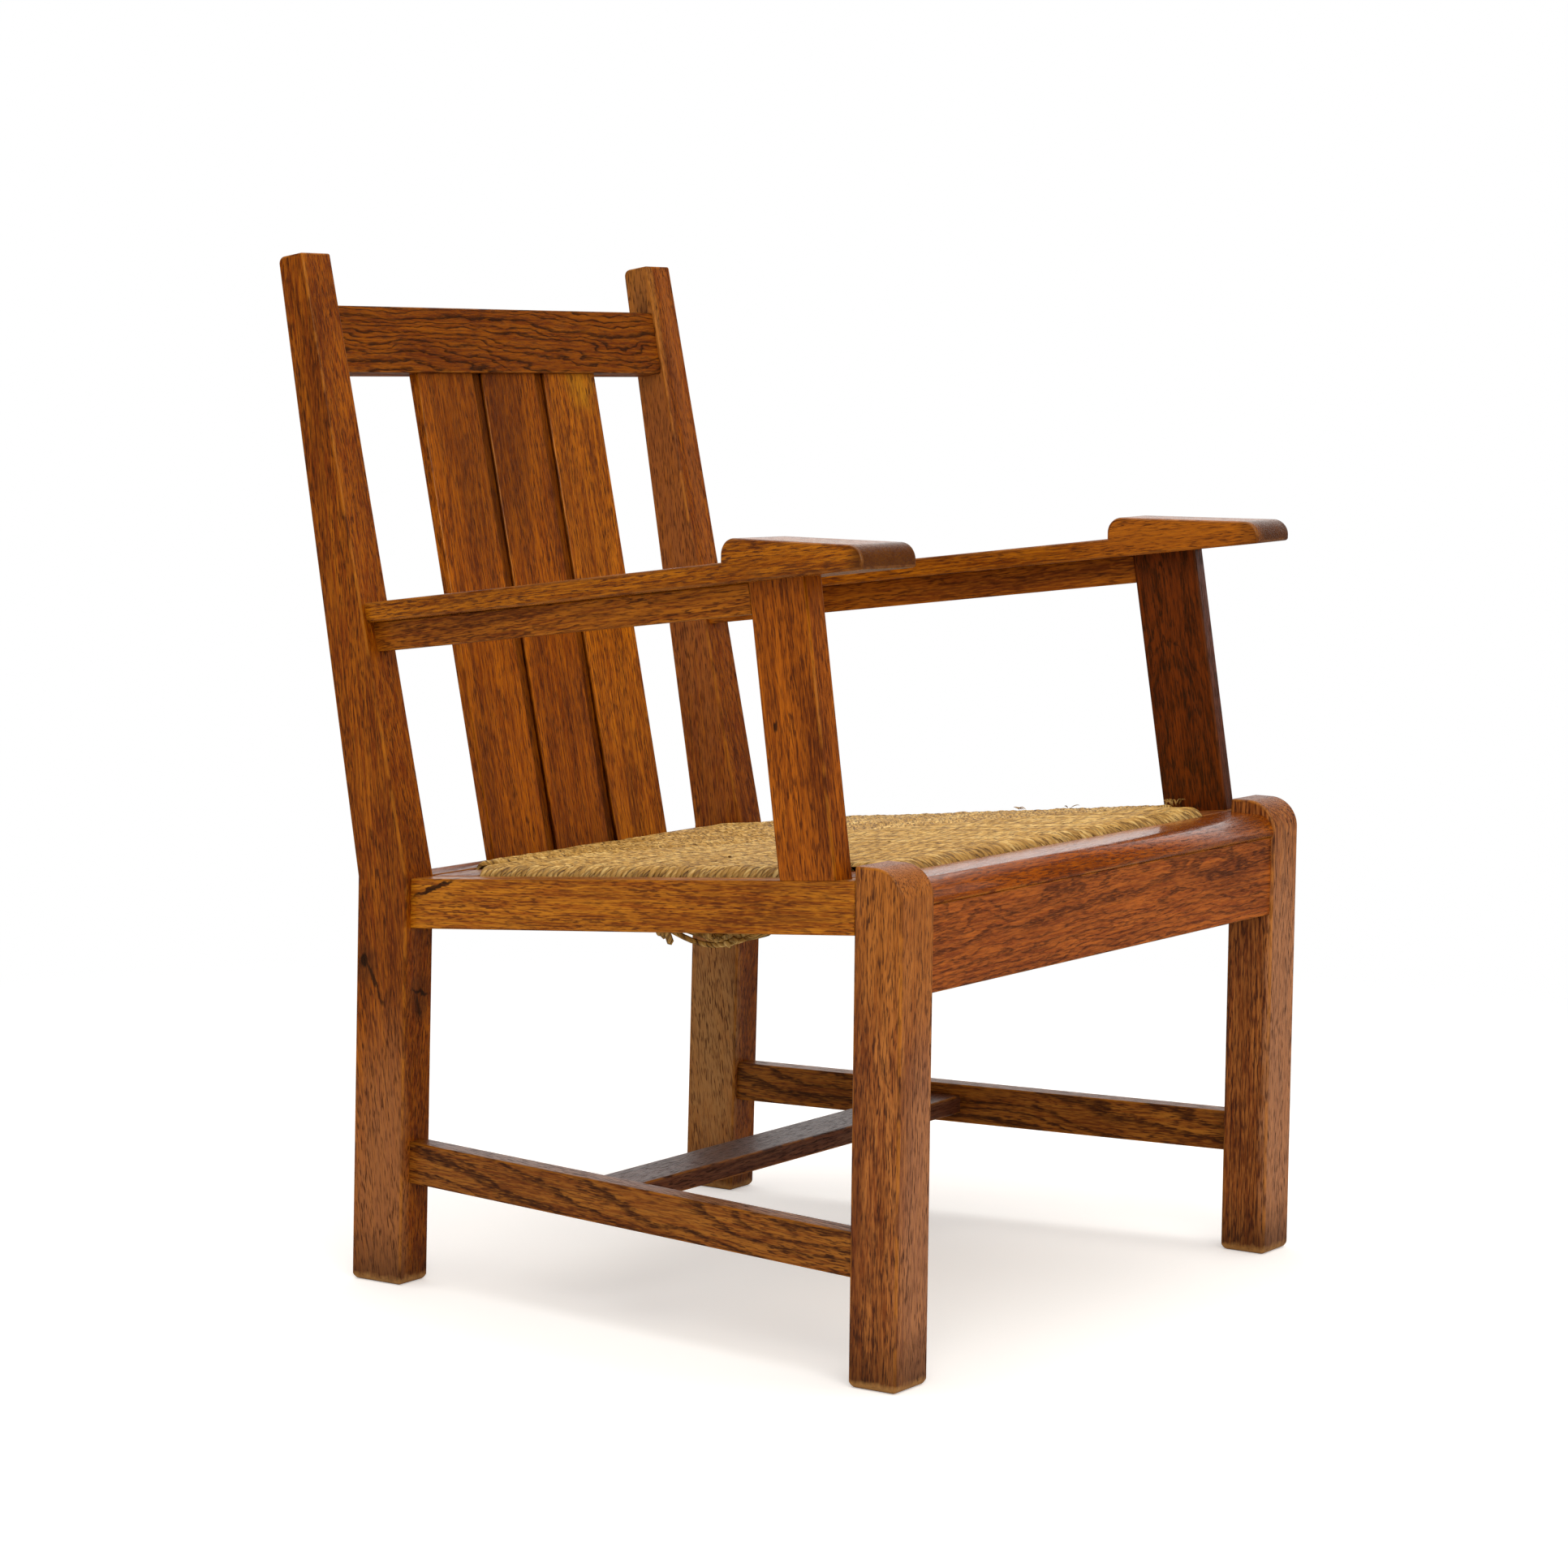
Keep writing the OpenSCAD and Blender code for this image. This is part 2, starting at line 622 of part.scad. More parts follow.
// The rush from front to back: two panels wound round the front and the rear rail
module rush_front_to_back() along_x(far) {
    y0 = (seat_front - leg_d) / cos(seat_slope) + seat_gap / 2;
    y1 = (seat_back - leg_d) / cos(seat_slope) - seat_gap / 2;
    intersection() {
        translate([y1, 0]) rush_section((y1 - y0) / 2);
        translate([y0, 0]) mirror([1, 0]) rush_section((y1 - y0) / 2);
    }
}

// The rush from one side rail towards the other
module rush_side(right) on_side(right)
    translate([seat_x(leg_d) - rush_clear, 0, 0]) rotate(splay)
        translate([0, far, 0]) rotate([90, 0, 0]) linear_extrude(2 * far) rush_section(seat_back_x);

module rush_seat() color(rush) chair() difference() {
    seat_frame() intersection() {
        rush_front_to_back();
        rush_side(true);
        rush_side(false);
    }
    for (right = [false, true]) on_side(right) {
        block_zone(true, rush_clear, rush_t);
        block_zone(false, rush_clear, rush_t);
        seat_frame_side(rush_clear);
    }
    seat_frame_cross(true, rush_clear);
    seat_frame_cross(false, rush_clear);
}

// The loop of loose rush ends that hangs under the left panel
tail_x = -(seat_front_x - block_w - tail_l / 2);
tail_r = (pow(tail_l / 2, 2) + pow(tail_sag, 2)) / (2 * tail_sag);
tail_a = asin(tail_l / 2 / tail_r);
module rush_tail() color(rush) chair() seat_frame() intersection() {
    translate([tail_x, tail_y - leg_d, tail_r - tail_sag - frame_t - rush_t])
        rotate([0, 90, 0]) rotate(-tail_a) rotate_extrude(angle = 2 * tail_a)
            translate([tail_r - tail_t / 2, 0]) circle(tail_t / 2);
    translate([-far, -far, -far - frame_t - rush_t - rush_clear]) cube([2 * far, 2 * far, far]);
}

// A triangular glue block in a corner under the seat, against the side rail
module glue_block(right, front) color(oak) chair() on_side(right) intersection() {
    seat_layer(block_t, block_t + glue_t);
    linear_extrude(far) {
        y = front ? leg_d : knee_front;
        dir = front ? 1 : -1;
        polygon([[inner_rail_x(y), y], [inner_rail_x(y) - glue_w, y],
            [inner_rail_x(y + dir * glue_w), y + dir * glue_w]]);
    }
}

module seat_rail_of_frame(front) color(oak) chair() seat_frame_cross(front);
module seat_side_of_frame(right) color(oak) chair() on_side(right) seat_frame_side();

front_leg(false);  // front_leg_left
front_leg(true);  // front_leg_right
rear_post(false);  // rear_post_left
rear_post(true);  // rear_post_right
side_seat_rail(false);  // side_seat_rail_left
side_seat_rail(true);  // side_seat_rail_right
rear_seat_rail();
front_apron();
nose_bar();
crest_rail();
back_slat(-1, true, false);  // back_slat_left
back_slat(0, true, true);  // back_slat_centre
back_slat(1, false, true);  // back_slat_right
arm(false);  // arm_left
arm(true);  // arm_right
arm_rail(false);  // arm_rail_left
arm_rail(true);  // arm_rail_right
arm_support(false);  // arm_support_left
arm_support(true);  // arm_support_right
side_stretcher(false);  // side_stretcher_left
side_stretcher(true);  // side_stretcher_right
cross_stretcher();
glue_block(false, true);  // glue_block_front_left
glue_block(true, true);  // glue_block_front_right
glue_block(false, false);  // glue_block_rear_left
glue_block(true, false);  // glue_block_rear_right
seat_block(false, true);  // seat_block_front_left
seat_block(true, true);  // seat_block_front_right
seat_block(false, false);  // seat_block_rear_left
seat_block(true, false);  // seat_block_rear_right
seat_rail_of_frame(true);  // seat_frame_front
seat_rail_of_frame(false);  // seat_frame_rear
seat_side_of_frame(false);  // seat_frame_left
seat_side_of_frame(true);  // seat_frame_right
rush_seat();
rush_tail();
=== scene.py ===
import bmesh
import bpy
import math
import random
from mathutils import Matrix, Vector, noise
from mathutils.bvhtree import BVHTree


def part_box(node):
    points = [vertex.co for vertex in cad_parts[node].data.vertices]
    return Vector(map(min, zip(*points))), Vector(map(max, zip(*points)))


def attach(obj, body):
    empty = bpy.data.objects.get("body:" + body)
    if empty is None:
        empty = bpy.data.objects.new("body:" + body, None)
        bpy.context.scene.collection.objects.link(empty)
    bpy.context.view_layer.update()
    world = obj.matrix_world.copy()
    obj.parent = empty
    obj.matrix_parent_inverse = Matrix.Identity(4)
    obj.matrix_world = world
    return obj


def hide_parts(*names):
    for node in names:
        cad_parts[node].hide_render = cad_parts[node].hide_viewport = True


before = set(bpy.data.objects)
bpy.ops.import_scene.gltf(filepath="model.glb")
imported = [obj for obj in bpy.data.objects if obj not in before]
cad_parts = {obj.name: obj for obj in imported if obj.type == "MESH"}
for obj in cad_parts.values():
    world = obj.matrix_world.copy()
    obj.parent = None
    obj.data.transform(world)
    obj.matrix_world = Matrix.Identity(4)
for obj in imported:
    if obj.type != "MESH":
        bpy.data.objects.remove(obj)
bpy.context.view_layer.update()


# ---- Studio ------------------------------------------------------------------
# A pale floor in a white room, lit by large soft lamps: one high on the left, one overhead
# and a weak one in front. The camera stands low on the chair's right hand side.

def linear(hex_colour):
    """An sRGB hex colour as linear red, green, blue and alpha."""
    channels = [int(hex_colour[i:i + 2], 16) / 255 for i in (1, 3, 5)]
    return (*[c / 12.92 if c <= 0.04045 else ((c + 0.055) / 1.055) ** 2.4 for c in channels], 1.0)


def add(tree, kind, sockets=(), stops=(), **settings):
    """Adds a shader node with its settings, and its sockets' values or links; stops fill a ramp.
    A MapRange takes its input's low and high in sockets 1 and 2 and its output's in 3 and 4; a
    Mix of colours takes the share in socket 0 and the two colours in 6 and 7."""
    made = tree.nodes.new("ShaderNode" + kind)
    for name, value in settings.items():
        setattr(made, name, value)
    for key, value in dict(sockets).items():
        if isinstance(value, bpy.types.NodeSocket):
            tree.links.new(value, made.inputs[key])
        else:
            made.inputs[key].default_value = value
    for place, (position, colour) in enumerate(stops):
        ramp = made.color_ramp.elements
        stop = ramp[place] if place < 2 else ramp.new(position)
        stop.position = position
        stop.color = linear(colour) if isinstance(colour, str) else (colour,) * 3 + (1.0,)
    return made


# The camera's place and its three turns, fitted to the photograph's perspective
camera_data = bpy.data.cameras.new("camera")
camera_data.lens = 94.48
camera_data.sensor_width = 36.0
camera = bpy.data.objects.new("camera", camera_data)
bpy.context.scene.collection.objects.link(camera)
camera_place = (-2.85527, -1.91079, 0.77056)
yaw, pitch, roll = -0.98255, -0.10493, 0.01165
ahead = Vector((-math.sin(yaw) * math.cos(pitch), math.cos(yaw) * math.cos(pitch), math.sin(pitch)))
level_right = Vector((math.cos(yaw), math.sin(yaw), 0))
level_up = level_right.cross(ahead)
right = math.cos(roll) * level_right + math.sin(roll) * level_up
up = math.cos(roll) * level_up - math.sin(roll) * level_right
camera.matrix_world = Matrix.Translation(camera_place) @ Matrix((right, up, -ahead)).transposed().to_4x4()
bpy.context.scene.camera = camera
bpy.context.scene.view_settings.view_transform = "Standard"

world = bpy.data.worlds.new("white_room")
bpy.context.scene.world = world
world.use_nodes = True
tree = world.node_tree
tree.nodes.clear()
path = add(tree, "LightPath")
# Varnish mirrors the ceiling and the white wall behind the chair, which the camera looks at: it
# is whole within 18 degrees of the camera's way and gone at 52. The rest of the room is dim
way = add(tree, "TexCoord").outputs["Generated"]
camera_way = (0.832, 0.555, 0)
behind = add(tree, "VectorMath", {0: way, 1: camera_way}, operation="DOT_PRODUCT").outputs["Value"]
behind = add(tree, "MapRange", {0: behind, 1: 0.62, 2: 0.95, 3: 0.03, 4: 1.0},
             interpolation_type="SMOOTHSTEP").outputs[0]
above = add(tree, "SeparateXYZ", {0: way}).outputs[2]
above = add(tree, "MapRange", {0: above, 1: 0.5, 2: 0.9, 3: 0.0, 4: 0.9},
            interpolation_type="SMOOTHSTEP").outputs[0]
mirrored = add(tree, "Math", {0: behind, 1: above}, operation="MAXIMUM").outputs[0]
room_light = add(tree, "Background", {"Color": linear("#f4f2ef"), "Strength": 0.66})
room_mirrored = add(tree, "Background", {"Color": linear("#ffffff"), "Strength": mirrored})
room_seen = add(tree, "Background", {"Color": linear("#ffffff"), "Strength": 1.0})
lit = add(tree, "MixShader", {0: path.outputs["Is Glossy Ray"], 1: room_light.outputs[0],
                              2: room_mirrored.outputs[0]})
shown = add(tree, "MixShader", {0: path.outputs["Is Camera Ray"], 1: lit.outputs[0],
                                2: room_seen.outputs[0]})
add(tree, "OutputWorld", {"Surface": shown.outputs[0]})


def lamp(name, place, aim, size, watts, colour):
    """A square soft lamp at a place, turned to the point it lights."""
    data = bpy.data.lights.new(name, "AREA")
    data.size = size
    data.energy = watts
    data.color = linear(colour)[:3]
    made = bpy.data.objects.new(name, data)
    made.location = place
    made.rotation_euler = (Vector(aim) - Vector(place)).to_track_quat("-Z", "Y").to_euler()
    bpy.context.scene.collection.objects.link(made)


lamp("lamp_left", (-2.4, -2.2, 2.4), (0, 0, 0.4), 2.4, 56, "#fffaf4")
lamp("lamp_top", (0.2, 0.3, 3.2), (0, 0, 0.3), 3.0, 50, "#ffffff")
lamp("lamp_front", (0.9, -3.3, 1.7), (0, 0, 0.5), 2.0, 13, "#fff6ec")

floor_size = 30.0
bm = bmesh.new()
bmesh.ops.create_grid(bm, x_segments=1, y_segments=1, size=floor_size)
floor_mesh = bpy.data.meshes.new("floor")
bm.to_mesh(floor_mesh)
bm.free()
floor = bpy.data.objects.new("floor", floor_mesh)
bpy.context.scene.collection.objects.link(floor)
# White paint, matt: it keeps the chair's soft shadow and adds a little of its own to the view.
# From 0.7 m away from the chair's middle it passes into the white ground, which is whole at 1.8 m
paint = bpy.data.materials.new("matt_white_paint")
paint.use_nodes = True
tree = paint.node_tree
tree.nodes.clear()
matt = add(tree, "BsdfDiffuse", {"Color": linear("#f3f0ec")})
path = add(tree, "LightPath")
glow = add(tree, "Emission", {"Color": linear("#ffffff"), "Strength": 0.34})
near = add(tree, "AddShader", {0: matt.outputs[0], 1: glow.outputs[0]})
wall = add(tree, "Emission", {"Color": linear("#ffffff"), "Strength": 1.0})
spot = add(tree, "TexCoord").outputs["Object"]
away = add(tree, "VectorMath", {0: spot}, operation="LENGTH").outputs["Value"]
away = add(tree, "MapRange", {0: away, 1: 0.7, 2: 1.8}, interpolation_type="SMOOTHSTEP").outputs[0]
seen = add(tree, "MixShader", {0: away, 1: near.outputs[0], 2: wall.outputs[0]})
# Seen in the varnish the floor is dull, so that upright faces keep the wood's own colour
dull = add(tree, "BsdfDiffuse", {"Color": linear("#85817c")})
unseen = add(tree, "MixShader", {0: path.outputs["Is Glossy Ray"], 1: matt.outputs[0], 2: dull.outputs[0]})
both = add(tree, "MixShader", {0: path.outputs["Is Camera Ray"], 1: unseen.outputs[0], 2: seen.outputs[0]})
add(tree, "OutputMaterial", {"Surface": both.outputs[0]})
floor_mesh.materials.append(paint)


# ---- Front legs ----------------------------------------------------------------
# Square posts of oak, sawn 45 by 42 mm, with the front of the top rounded and every arris
# eased with a plane and worn; its golden colour is partly a painted highlight. The varnish is
# gone from the last few millimetres of the feet.
# Here and in all names left is the -X side, on the left of someone who faces the chair.

def oak(name, along, centre, pith, light, mid, dark, ring=2.4, seed=0, lean=0.012, figure=0.6, waver=2.4,
        ripple=(150, 150, 60), pored=0.82, warm="#5c2406", worn_and_highlit="#b06a14", marks=(), foot=False,
        polish=0.34, coat=0.08):
    """Stained and varnished oak. along is the grain's direction, centre a point in the piece and
    pith the way and distance in metres to the tree's middle, so that the rings show as they are
    cut. light and mid are the fibres, dark the pores and the rings' lines, warm the streaks of
    stain and worn_and_highlit the colour of the arrises, where wear and a painted highlight lie
    together. ring is the growth of a year and waver how far its line strays, in mm, ripple how
    often it does so in a metre, lean the slope of the grain, figure how strong the line is and
    pored how dark the pores are. marks are stains, knots and patches of painted light and shade:
    a point, half sizes in metres, turns, colour, strength. foot gives a leg's foot its dirt and
    bare edge. polish is the varnish's roughness and coat the share of a smoother shine on it."""
    made = bpy.data.materials.new(name)
    made.use_nodes = True
    tree = made.node_tree
    shader = tree.nodes["Principled BSDF"]
    grain = Vector(along).normalized()
    to_pith = Vector(pith)
    side = (to_pith - to_pith.dot(grain) * grain).normalized()
    grain = (grain + lean * side).normalized()
    side = (side - side.dot(grain) * grain).normalized()
    turn = Matrix((side, grain.cross(side), grain)).transposed().to_euler()
    # Each piece comes from its own length of the tree, so no two share their grain
    length_up = 0.31 + 0.37 * seed
    heart = Vector(centre) + side * to_pith.length + grain * length_up
    place = add(tree, "TexCoord").outputs["Object"]
    wood = add(tree, "Mapping", {"Vector": place, "Location": heart, "Rotation": turn},
               vector_type="TEXTURE").outputs[0]
    # The trunk wasn't straight: its rings wander over hands and waver over fingers
    slow = add(tree, "Mapping", {"Vector": wood, "Scale": (12, 12, 4)}).outputs[0]
    wander = add(tree, "TexNoise", {"Vector": slow, "Scale": 1.0, "Detail": 2.0,
                                    "Roughness": 0.5}).outputs["Color"]
    wander_m = (0.022, 0.022, 0)
    bent = add(tree, "VectorMath", {0: wander, 1: wander_m, 2: wood}, operation="MULTIPLY_ADD").outputs[0]
    quick = add(tree, "Mapping", {"Vector": wood, "Scale": ripple}).outputs[0]
    small = add(tree, "TexNoise", {"Vector": quick, "Scale": 1.0, "Detail": 3.0,
                                   "Roughness": 0.6}).outputs["Color"]
    waver_m = (waver / 1000, waver / 1000, 0)
    bent = add(tree, "VectorMath", {0: small, 1: waver_m, 2: bent}, operation="MULTIPLY_ADD").outputs[0]
    rings_a_metre = (1000 / ring, 1000 / ring, 0)
    flat = add(tree, "VectorMath", {0: bent, 1: rings_a_metre}, operation="MULTIPLY").outputs[0]
    years = add(tree, "VectorMath", {0: flat}, operation="LENGTH").outputs["Value"]
    uneven = add(tree, "TexNoise", {"W": years, "Scale": 0.37, "Detail": 1.0},
                 noise_dimensions="1D").outputs[0]
    years = add(tree, "Math", {0: uneven, 1: 1.5, 2: years}, operation="MULTIPLY_ADD").outputs[0]
    year = add(tree, "Math", {0: years}, operation="FRACT").outputs[0]
    # Spring wood opens a year with wide pores; its line fades out over a third of the ring
    spring = add(tree, "ValToRGB", {0: year}, [(0.0, 0.15), (0.08, 1.0), (0.22, 0.75), (0.38, 0.05),
                                               (0.95, 0.0), (1.0, 0.15)]).outputs[0]
    # Open pores, 0.3 mm wide and 9 mm long, drawn 1 mm wide so that they show, and pale flecks
    # of the same size where the wood's rays come to the surface
    fine = add(tree, "Mapping", {"Vector": wood, "Scale": (980, 980, 100)}).outputs[0]
    grit = add(tree, "TexNoise", {"Vector": fine, "Scale": 1.0, "Detail": 1.0, "Roughness": 0.5}).outputs[0]
    specks = add(tree, "ValToRGB", {0: grit}, [(0.53, 0.0), (0.62, 1.0)]).outputs[0]
    flecks = add(tree, "ValToRGB", {0: grit}, [(0.34, 1.0), (0.44, 0.0)]).outputs[0]
    dense = add(tree, "Mapping", {"Vector": wood, "Location": (0.7, 0.2, 0),
                                  "Scale": (70, 70, 12)}).outputs[0]
    dense = add(tree, "TexNoise", {"Vector": dense, "Scale": 1.0, "Detail": 2.0}).outputs[0]
    dense = add(tree, "MapRange", {0: dense, 1: 0.38, 2: 0.60, 3: 0.45, 4: 1.0}).outputs[0]
    share = add(tree, "Math", {0: spring, 1: 0.5, 2: dense}, operation="MULTIPLY_ADD").outputs[0]
    pores = add(tree, "Math", {0: specks, 1: share}, operation="MULTIPLY", use_clamp=True).outputs[0]
    # Fibres, streaks of stain 15 mm wide and as long as a hand, and broad clouds of it
    long = add(tree, "Mapping", {"Vector": wood, "Scale": (400, 400, 20)}).outputs[0]
    fibres = add(tree, "TexNoise", {"Vector": long, "Scale": 1.0, "Detail": 4.0,
                                    "Roughness": 0.6}).outputs[0]
    fibres = add(tree, "ValToRGB", {0: fibres}, [(0.41, 0.0), (0.59, 1.0)]).outputs[0]
    broad = add(tree, "Mapping", {"Vector": wood, "Scale": (64, 64, 5)}).outputs[0]
    streaks = add(tree, "TexNoise", {"Vector": broad, "Scale": 1.0, "Detail": 3.0,
                                     "Roughness": 0.5}).outputs[0]
    streaks = add(tree, "ValToRGB", {0: streaks}, [(0.40, 0.0), (0.62, 1.0)]).outputs[0]
    wide = add(tree, "Mapping", {"Vector": wood, "Scale": (24, 24, 8)}).outputs[0]
    clouds = add(tree, "TexNoise", {"Vector": wide, "Scale": 1.0, "Detail": 3.0,
                                    "Roughness": 0.55}).outputs[0]
    clouds = add(tree, "MapRange", {0: clouds, 1: 0.36, 2: 0.64, 3: 0.35, 4: 1.0}).outputs[0]
    body = add(tree, "Mix", {0: fibres, 6: linear(light), 7: linear(mid)}, data_type="RGBA").outputs[2]
    stain = add(tree, "Math", {0: streaks, 1: clouds}, operation="MULTIPLY").outputs[0]
    stain = add(tree, "Math", {0: stain, 1: 0.75}, operation="MULTIPLY").outputs[0]
    body = add(tree, "Mix", {0: stain, 6: body, 7: linear(warm)}, data_type="RGBA").outputs[2]
    lines = add(tree, "Math", {0: spring, 1: figure}, operation="MULTIPLY").outputs[0]
    body = add(tree, "Mix", {0: lines, 6: body, 7: linear(dark)}, data_type="RGBA").outputs[2]
    bright = add(tree, "Math", {0: flecks, 1: 0.45}, operation="MULTIPLY").outputs[0]
    body = add(tree, "Mix", {0: bright, 6: body, 7: linear(light)}, data_type="RGBA").outputs[2]
    # A mark, be it a stain, a knot or a patch of painted light and shade, is whole within 0.45 of its
    # half sizes and fades out to their full length, with an edge that the grain's own wavering blurs
    blur_m = 0.012
    blur = add(tree, "VectorMath", {0: small, 1: (blur_m, blur_m, blur_m), 2: place},
               operation="MULTIPLY_ADD").outputs[0]
    for point, reach, turned, colour, strength in marks:
        spot = Vector(point) + Vector((blur_m, blur_m, blur_m)) / 2
        off = add(tree, "Mapping", {"Vector": blur, "Location": spot, "Rotation": turned, "Scale": reach},
                  vector_type="TEXTURE").outputs[0]
        off = add(tree, "VectorMath", {0: off}, operation="LENGTH").outputs["Value"]
        fade = add(tree, "MapRange", {0: off, 1: 0.45, 2: 1.0, 3: strength, 4: 0.0},
                   interpolation_type="SMOOTHSTEP").outputs[0]
        body = add(tree, "Mix", {0: fade, 6: body, 7: linear(colour)}, data_type="RGBA").outputs[2]
    filled = add(tree, "Math", {0: pores, 1: pored}, operation="MULTIPLY").outputs[0]
    body = add(tree, "Mix", {0: filled, 6: body, 7: linear(dark)}, data_type="RGBA").outputs[2]
    # Hands and polish rubbed the arrises: golden where the stain has gone, dark where dirt stayed. The golden
    # also serves as a painted highlight along the edges
    arris = add(tree, "Attribute", attribute_name="arris").outputs["Fac"]
    patchy = add(tree, "Mapping", {"Vector": wood, "Scale": (60, 60, 34)}).outputs[0]
    patchy = add(tree, "TexNoise", {"Vector": patchy, "Scale": 1.0, "Detail": 3.0}).outputs[0]
    rubbed_and_highlit = add(tree, "ValToRGB", {0: patchy}, [(0.42, dark), (0.52, worn_and_highlit)]).outputs[0]
    rub_and_highlight = add(tree, "Math", {0: arris, 1: 0.42}, operation="MULTIPLY").outputs[0]
    body = add(tree, "Mix", {0: rub_and_highlight, 6: body, 7: rubbed_and_highlit}, data_type="RGBA").outputs[2]
    # Painted shade, with some dirt, in the grooves between the boards
    groove_shade_and_dirt = add(tree, "Attribute", attribute_name="groove_shade_and_dirt").outputs["Fac"]
    groove_shade_and_dirt = add(tree, "Math", {0: groove_shade_and_dirt, 1: 0.5}, operation="MULTIPLY").outputs[0]
    body = add(tree, "Mix", {0: groove_shade_and_dirt, 6: body, 7: linear("#240b04")}, data_type="RGBA").outputs[2]
    if foot:
        # Dirt fades out 50 mm up, and the last 3 to 8 mm are bare of varnish, with a ragged edge
        height = add(tree, "SeparateXYZ", {0: place}).outputs[2]
        ragged = add(tree, "TexNoise", {"Vector": place, "Scale": 160.0, "Detail": 3.0}).outputs[0]
        edge = add(tree, "Math", {0: ragged, 1: 0.009, 2: height}, operation="MULTIPLY_ADD").outputs[0]
        muddy = add(tree, "MapRange", {0: edge, 1: 0.012, 2: 0.055, 3: 0.55, 4: 0.0}).outputs[0]
        body = add(tree, "Mix", {0: muddy, 6: body, 7: linear("#2c150a")}, data_type="RGBA").outputs[2]
        bare = add(tree, "MapRange", {0: edge, 1: 0.0075, 2: 0.0125, 3: 0.75, 4: 0.0}).outputs[0]
        body = add(tree, "Mix", {0: bare, 6: body, 7: linear("#b08048")}, data_type="RGBA").outputs[2]
    tree.links.new(body, shader.inputs["Base Color"])
    gloss = add(tree, "MapRange", {0: pores, 1: 0.0, 2: 1.0, 3: polish, 4: polish + 0.25}).outputs[0]
    tree.links.new(gloss, shader.inputs["Roughness"])
    # The pores stay open under the varnish, and the hand-planed faces are never quite flat
    planed = add(tree, "Mapping", {"Vector": wood, "Scale": (55, 55, 14)}).outputs[0]
    planed = add(tree, "TexNoise", {"Vector": planed, "Scale": 1.0, "Detail": 2.0}).outputs[0]
    waves = add(tree, "Bump", {"Height": planed, "Strength": 0.3, "Distance": 0.0014}).outputs[0]
    depth = add(tree, "Math", {0: pores, 1: -1.0, 2: fibres}, operation="MULTIPLY_ADD").outputs[0]
    relief = add(tree, "Bump", {"Height": depth, "Strength": 0.3, "Distance": 0.0004,
                                "Normal": waves}).outputs[0]
    tree.links.new(relief, shader.inputs["Normal"])
    shader.inputs["IOR"].default_value = 1.5
    shader.inputs["Specular IOR Level"].default_value = 0.3
    shader.inputs["Specular Tint"].default_value = linear("#ffdca8")
    shader.inputs["Coat Weight"].default_value = coat
    shader.inputs["Coat Roughness"].default_value = 0.12
    return made


def eased(node, material, arris, along=None, but=None, shade_and_dirt_faces=None, body="frame"):
    """A finished copy of a node's solid: its outer edges are rounded by arris in metres, only
    those that run along a direction where one is given, and not those that but picks out. Edges
    inside a mortise or a groove stay sharp. shade_and_dirt_faces picks out the faces that get painted shade,
    with some dirt."""
    least_corner = math.radians(25)
    one_plane = math.radians(0.5)
    welded, clear = 2e-6, 1e-4
    # The solid's triangles are welded and joined into whole faces
    bm = bmesh.new()
    bm.from_mesh(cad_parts[node].data)
    bmesh.ops.remove_doubles(bm, verts=bm.verts, dist=welded)
    bmesh.ops.dissolve_limit(bm, angle_limit=one_plane, verts=bm.verts, edges=bm.edges)
    # A face is an outer one if it doesn't look at another face of the same solid
    solid = BVHTree.FromBMesh(bm)
    outer = set()
    for face in bm.faces:
        start = face.calc_center_median_weighted() + face.normal * clear
        if solid.ray_cast(start, face.normal)[0] is None:
            outer.add(face.index)
    sharp = []
    for edge in bm.edges:
        if not edge.is_manifold or not all(face.index in outer for face in edge.link_faces):
            continue
        run = (edge.verts[1].co - edge.verts[0].co).normalized()
        if edge.calc_face_angle_signed() < least_corner or (along and abs(run.dot(along)) < 0.9):
            continue
        if but is None or not but((edge.verts[0].co + edge.verts[1].co) / 2):
            sharp.append(edge)
    eased_face = bm.faces.layers.float.new("arris")
    rounded = bmesh.ops.bevel(bm, geom=sharp, offset=arris, offset_type="OFFSET", segments=3, profile=0.5,
                              affect="EDGES", material=-1, clamp_overlap=True)["faces"]
    for face in rounded:
        face[eased_face] = 1.0
    # A face layer for painted shade, with some dirt, on the faces in the grooves
    groove_shade_layer = bm.faces.layers.float.new("groove_shade_and_dirt")
    for face in bm.faces:
        face.smooth = True
        face[groove_shade_layer] = 1.0 if shade_and_dirt_faces and shade_and_dirt_faces(face) else 0.0
    mesh = bpy.data.meshes.new(node + "_finished")
    bm.to_mesh(mesh)
    bm.free()
    mesh.materials.append(material)
    piece = bpy.data.objects.new(node + "_finished", mesh)
    bpy.context.scene.collection.objects.link(piece)
    normals = piece.modifiers.new("flat_faces", "WEIGHTED_NORMAL")
    normals.weight = 80
    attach(piece, body)
    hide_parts(node)
    return piece


def middle(node):
    """The middle of a node's box."""
    low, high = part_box(node)
    return (low + high) / 2


# The left leg is darker at its rear edge, the right one paler on its front, with a bolder grain
left_shades = (((-0.32, -0.283, 0.2), (0.03, 0.016, 0.26), (0, 0, 0), "#5a2610", 0.55),
               ((-0.28, -0.327, 0.08), (0.05, 0.02, 0.26), (0, 0, 0), "#a87656", 0.45),
               ((-0.29, -0.31, 0.36), (0.06, 0.05, 0.14), (0, 0, 0), "#b0661c", 0.4))
right_shades = (((0.298, -0.327, 0.17), (0.06, 0.012, 0.26), (0, 0, 0), "#b8805a", 0.6),)
for node, seed, pith, ring, figure, shades in (
        ("front_leg_left", 1, (0.07, 0.03, 0), 2.2, 0.4, left_shades),
        ("front_leg_right", 2, (0.02, 0.08, 0), 3.2, 0.75, right_shades)):
    leg_oak = oak("oak_" + node, (0, 0, 1), middle(node), pith, "#b06b31", "#85451d", "#3b1710",
                  ring=ring, seed=seed, figure=figure, marks=shades, foot=True)
    eased(node, leg_oak, 0.0022)
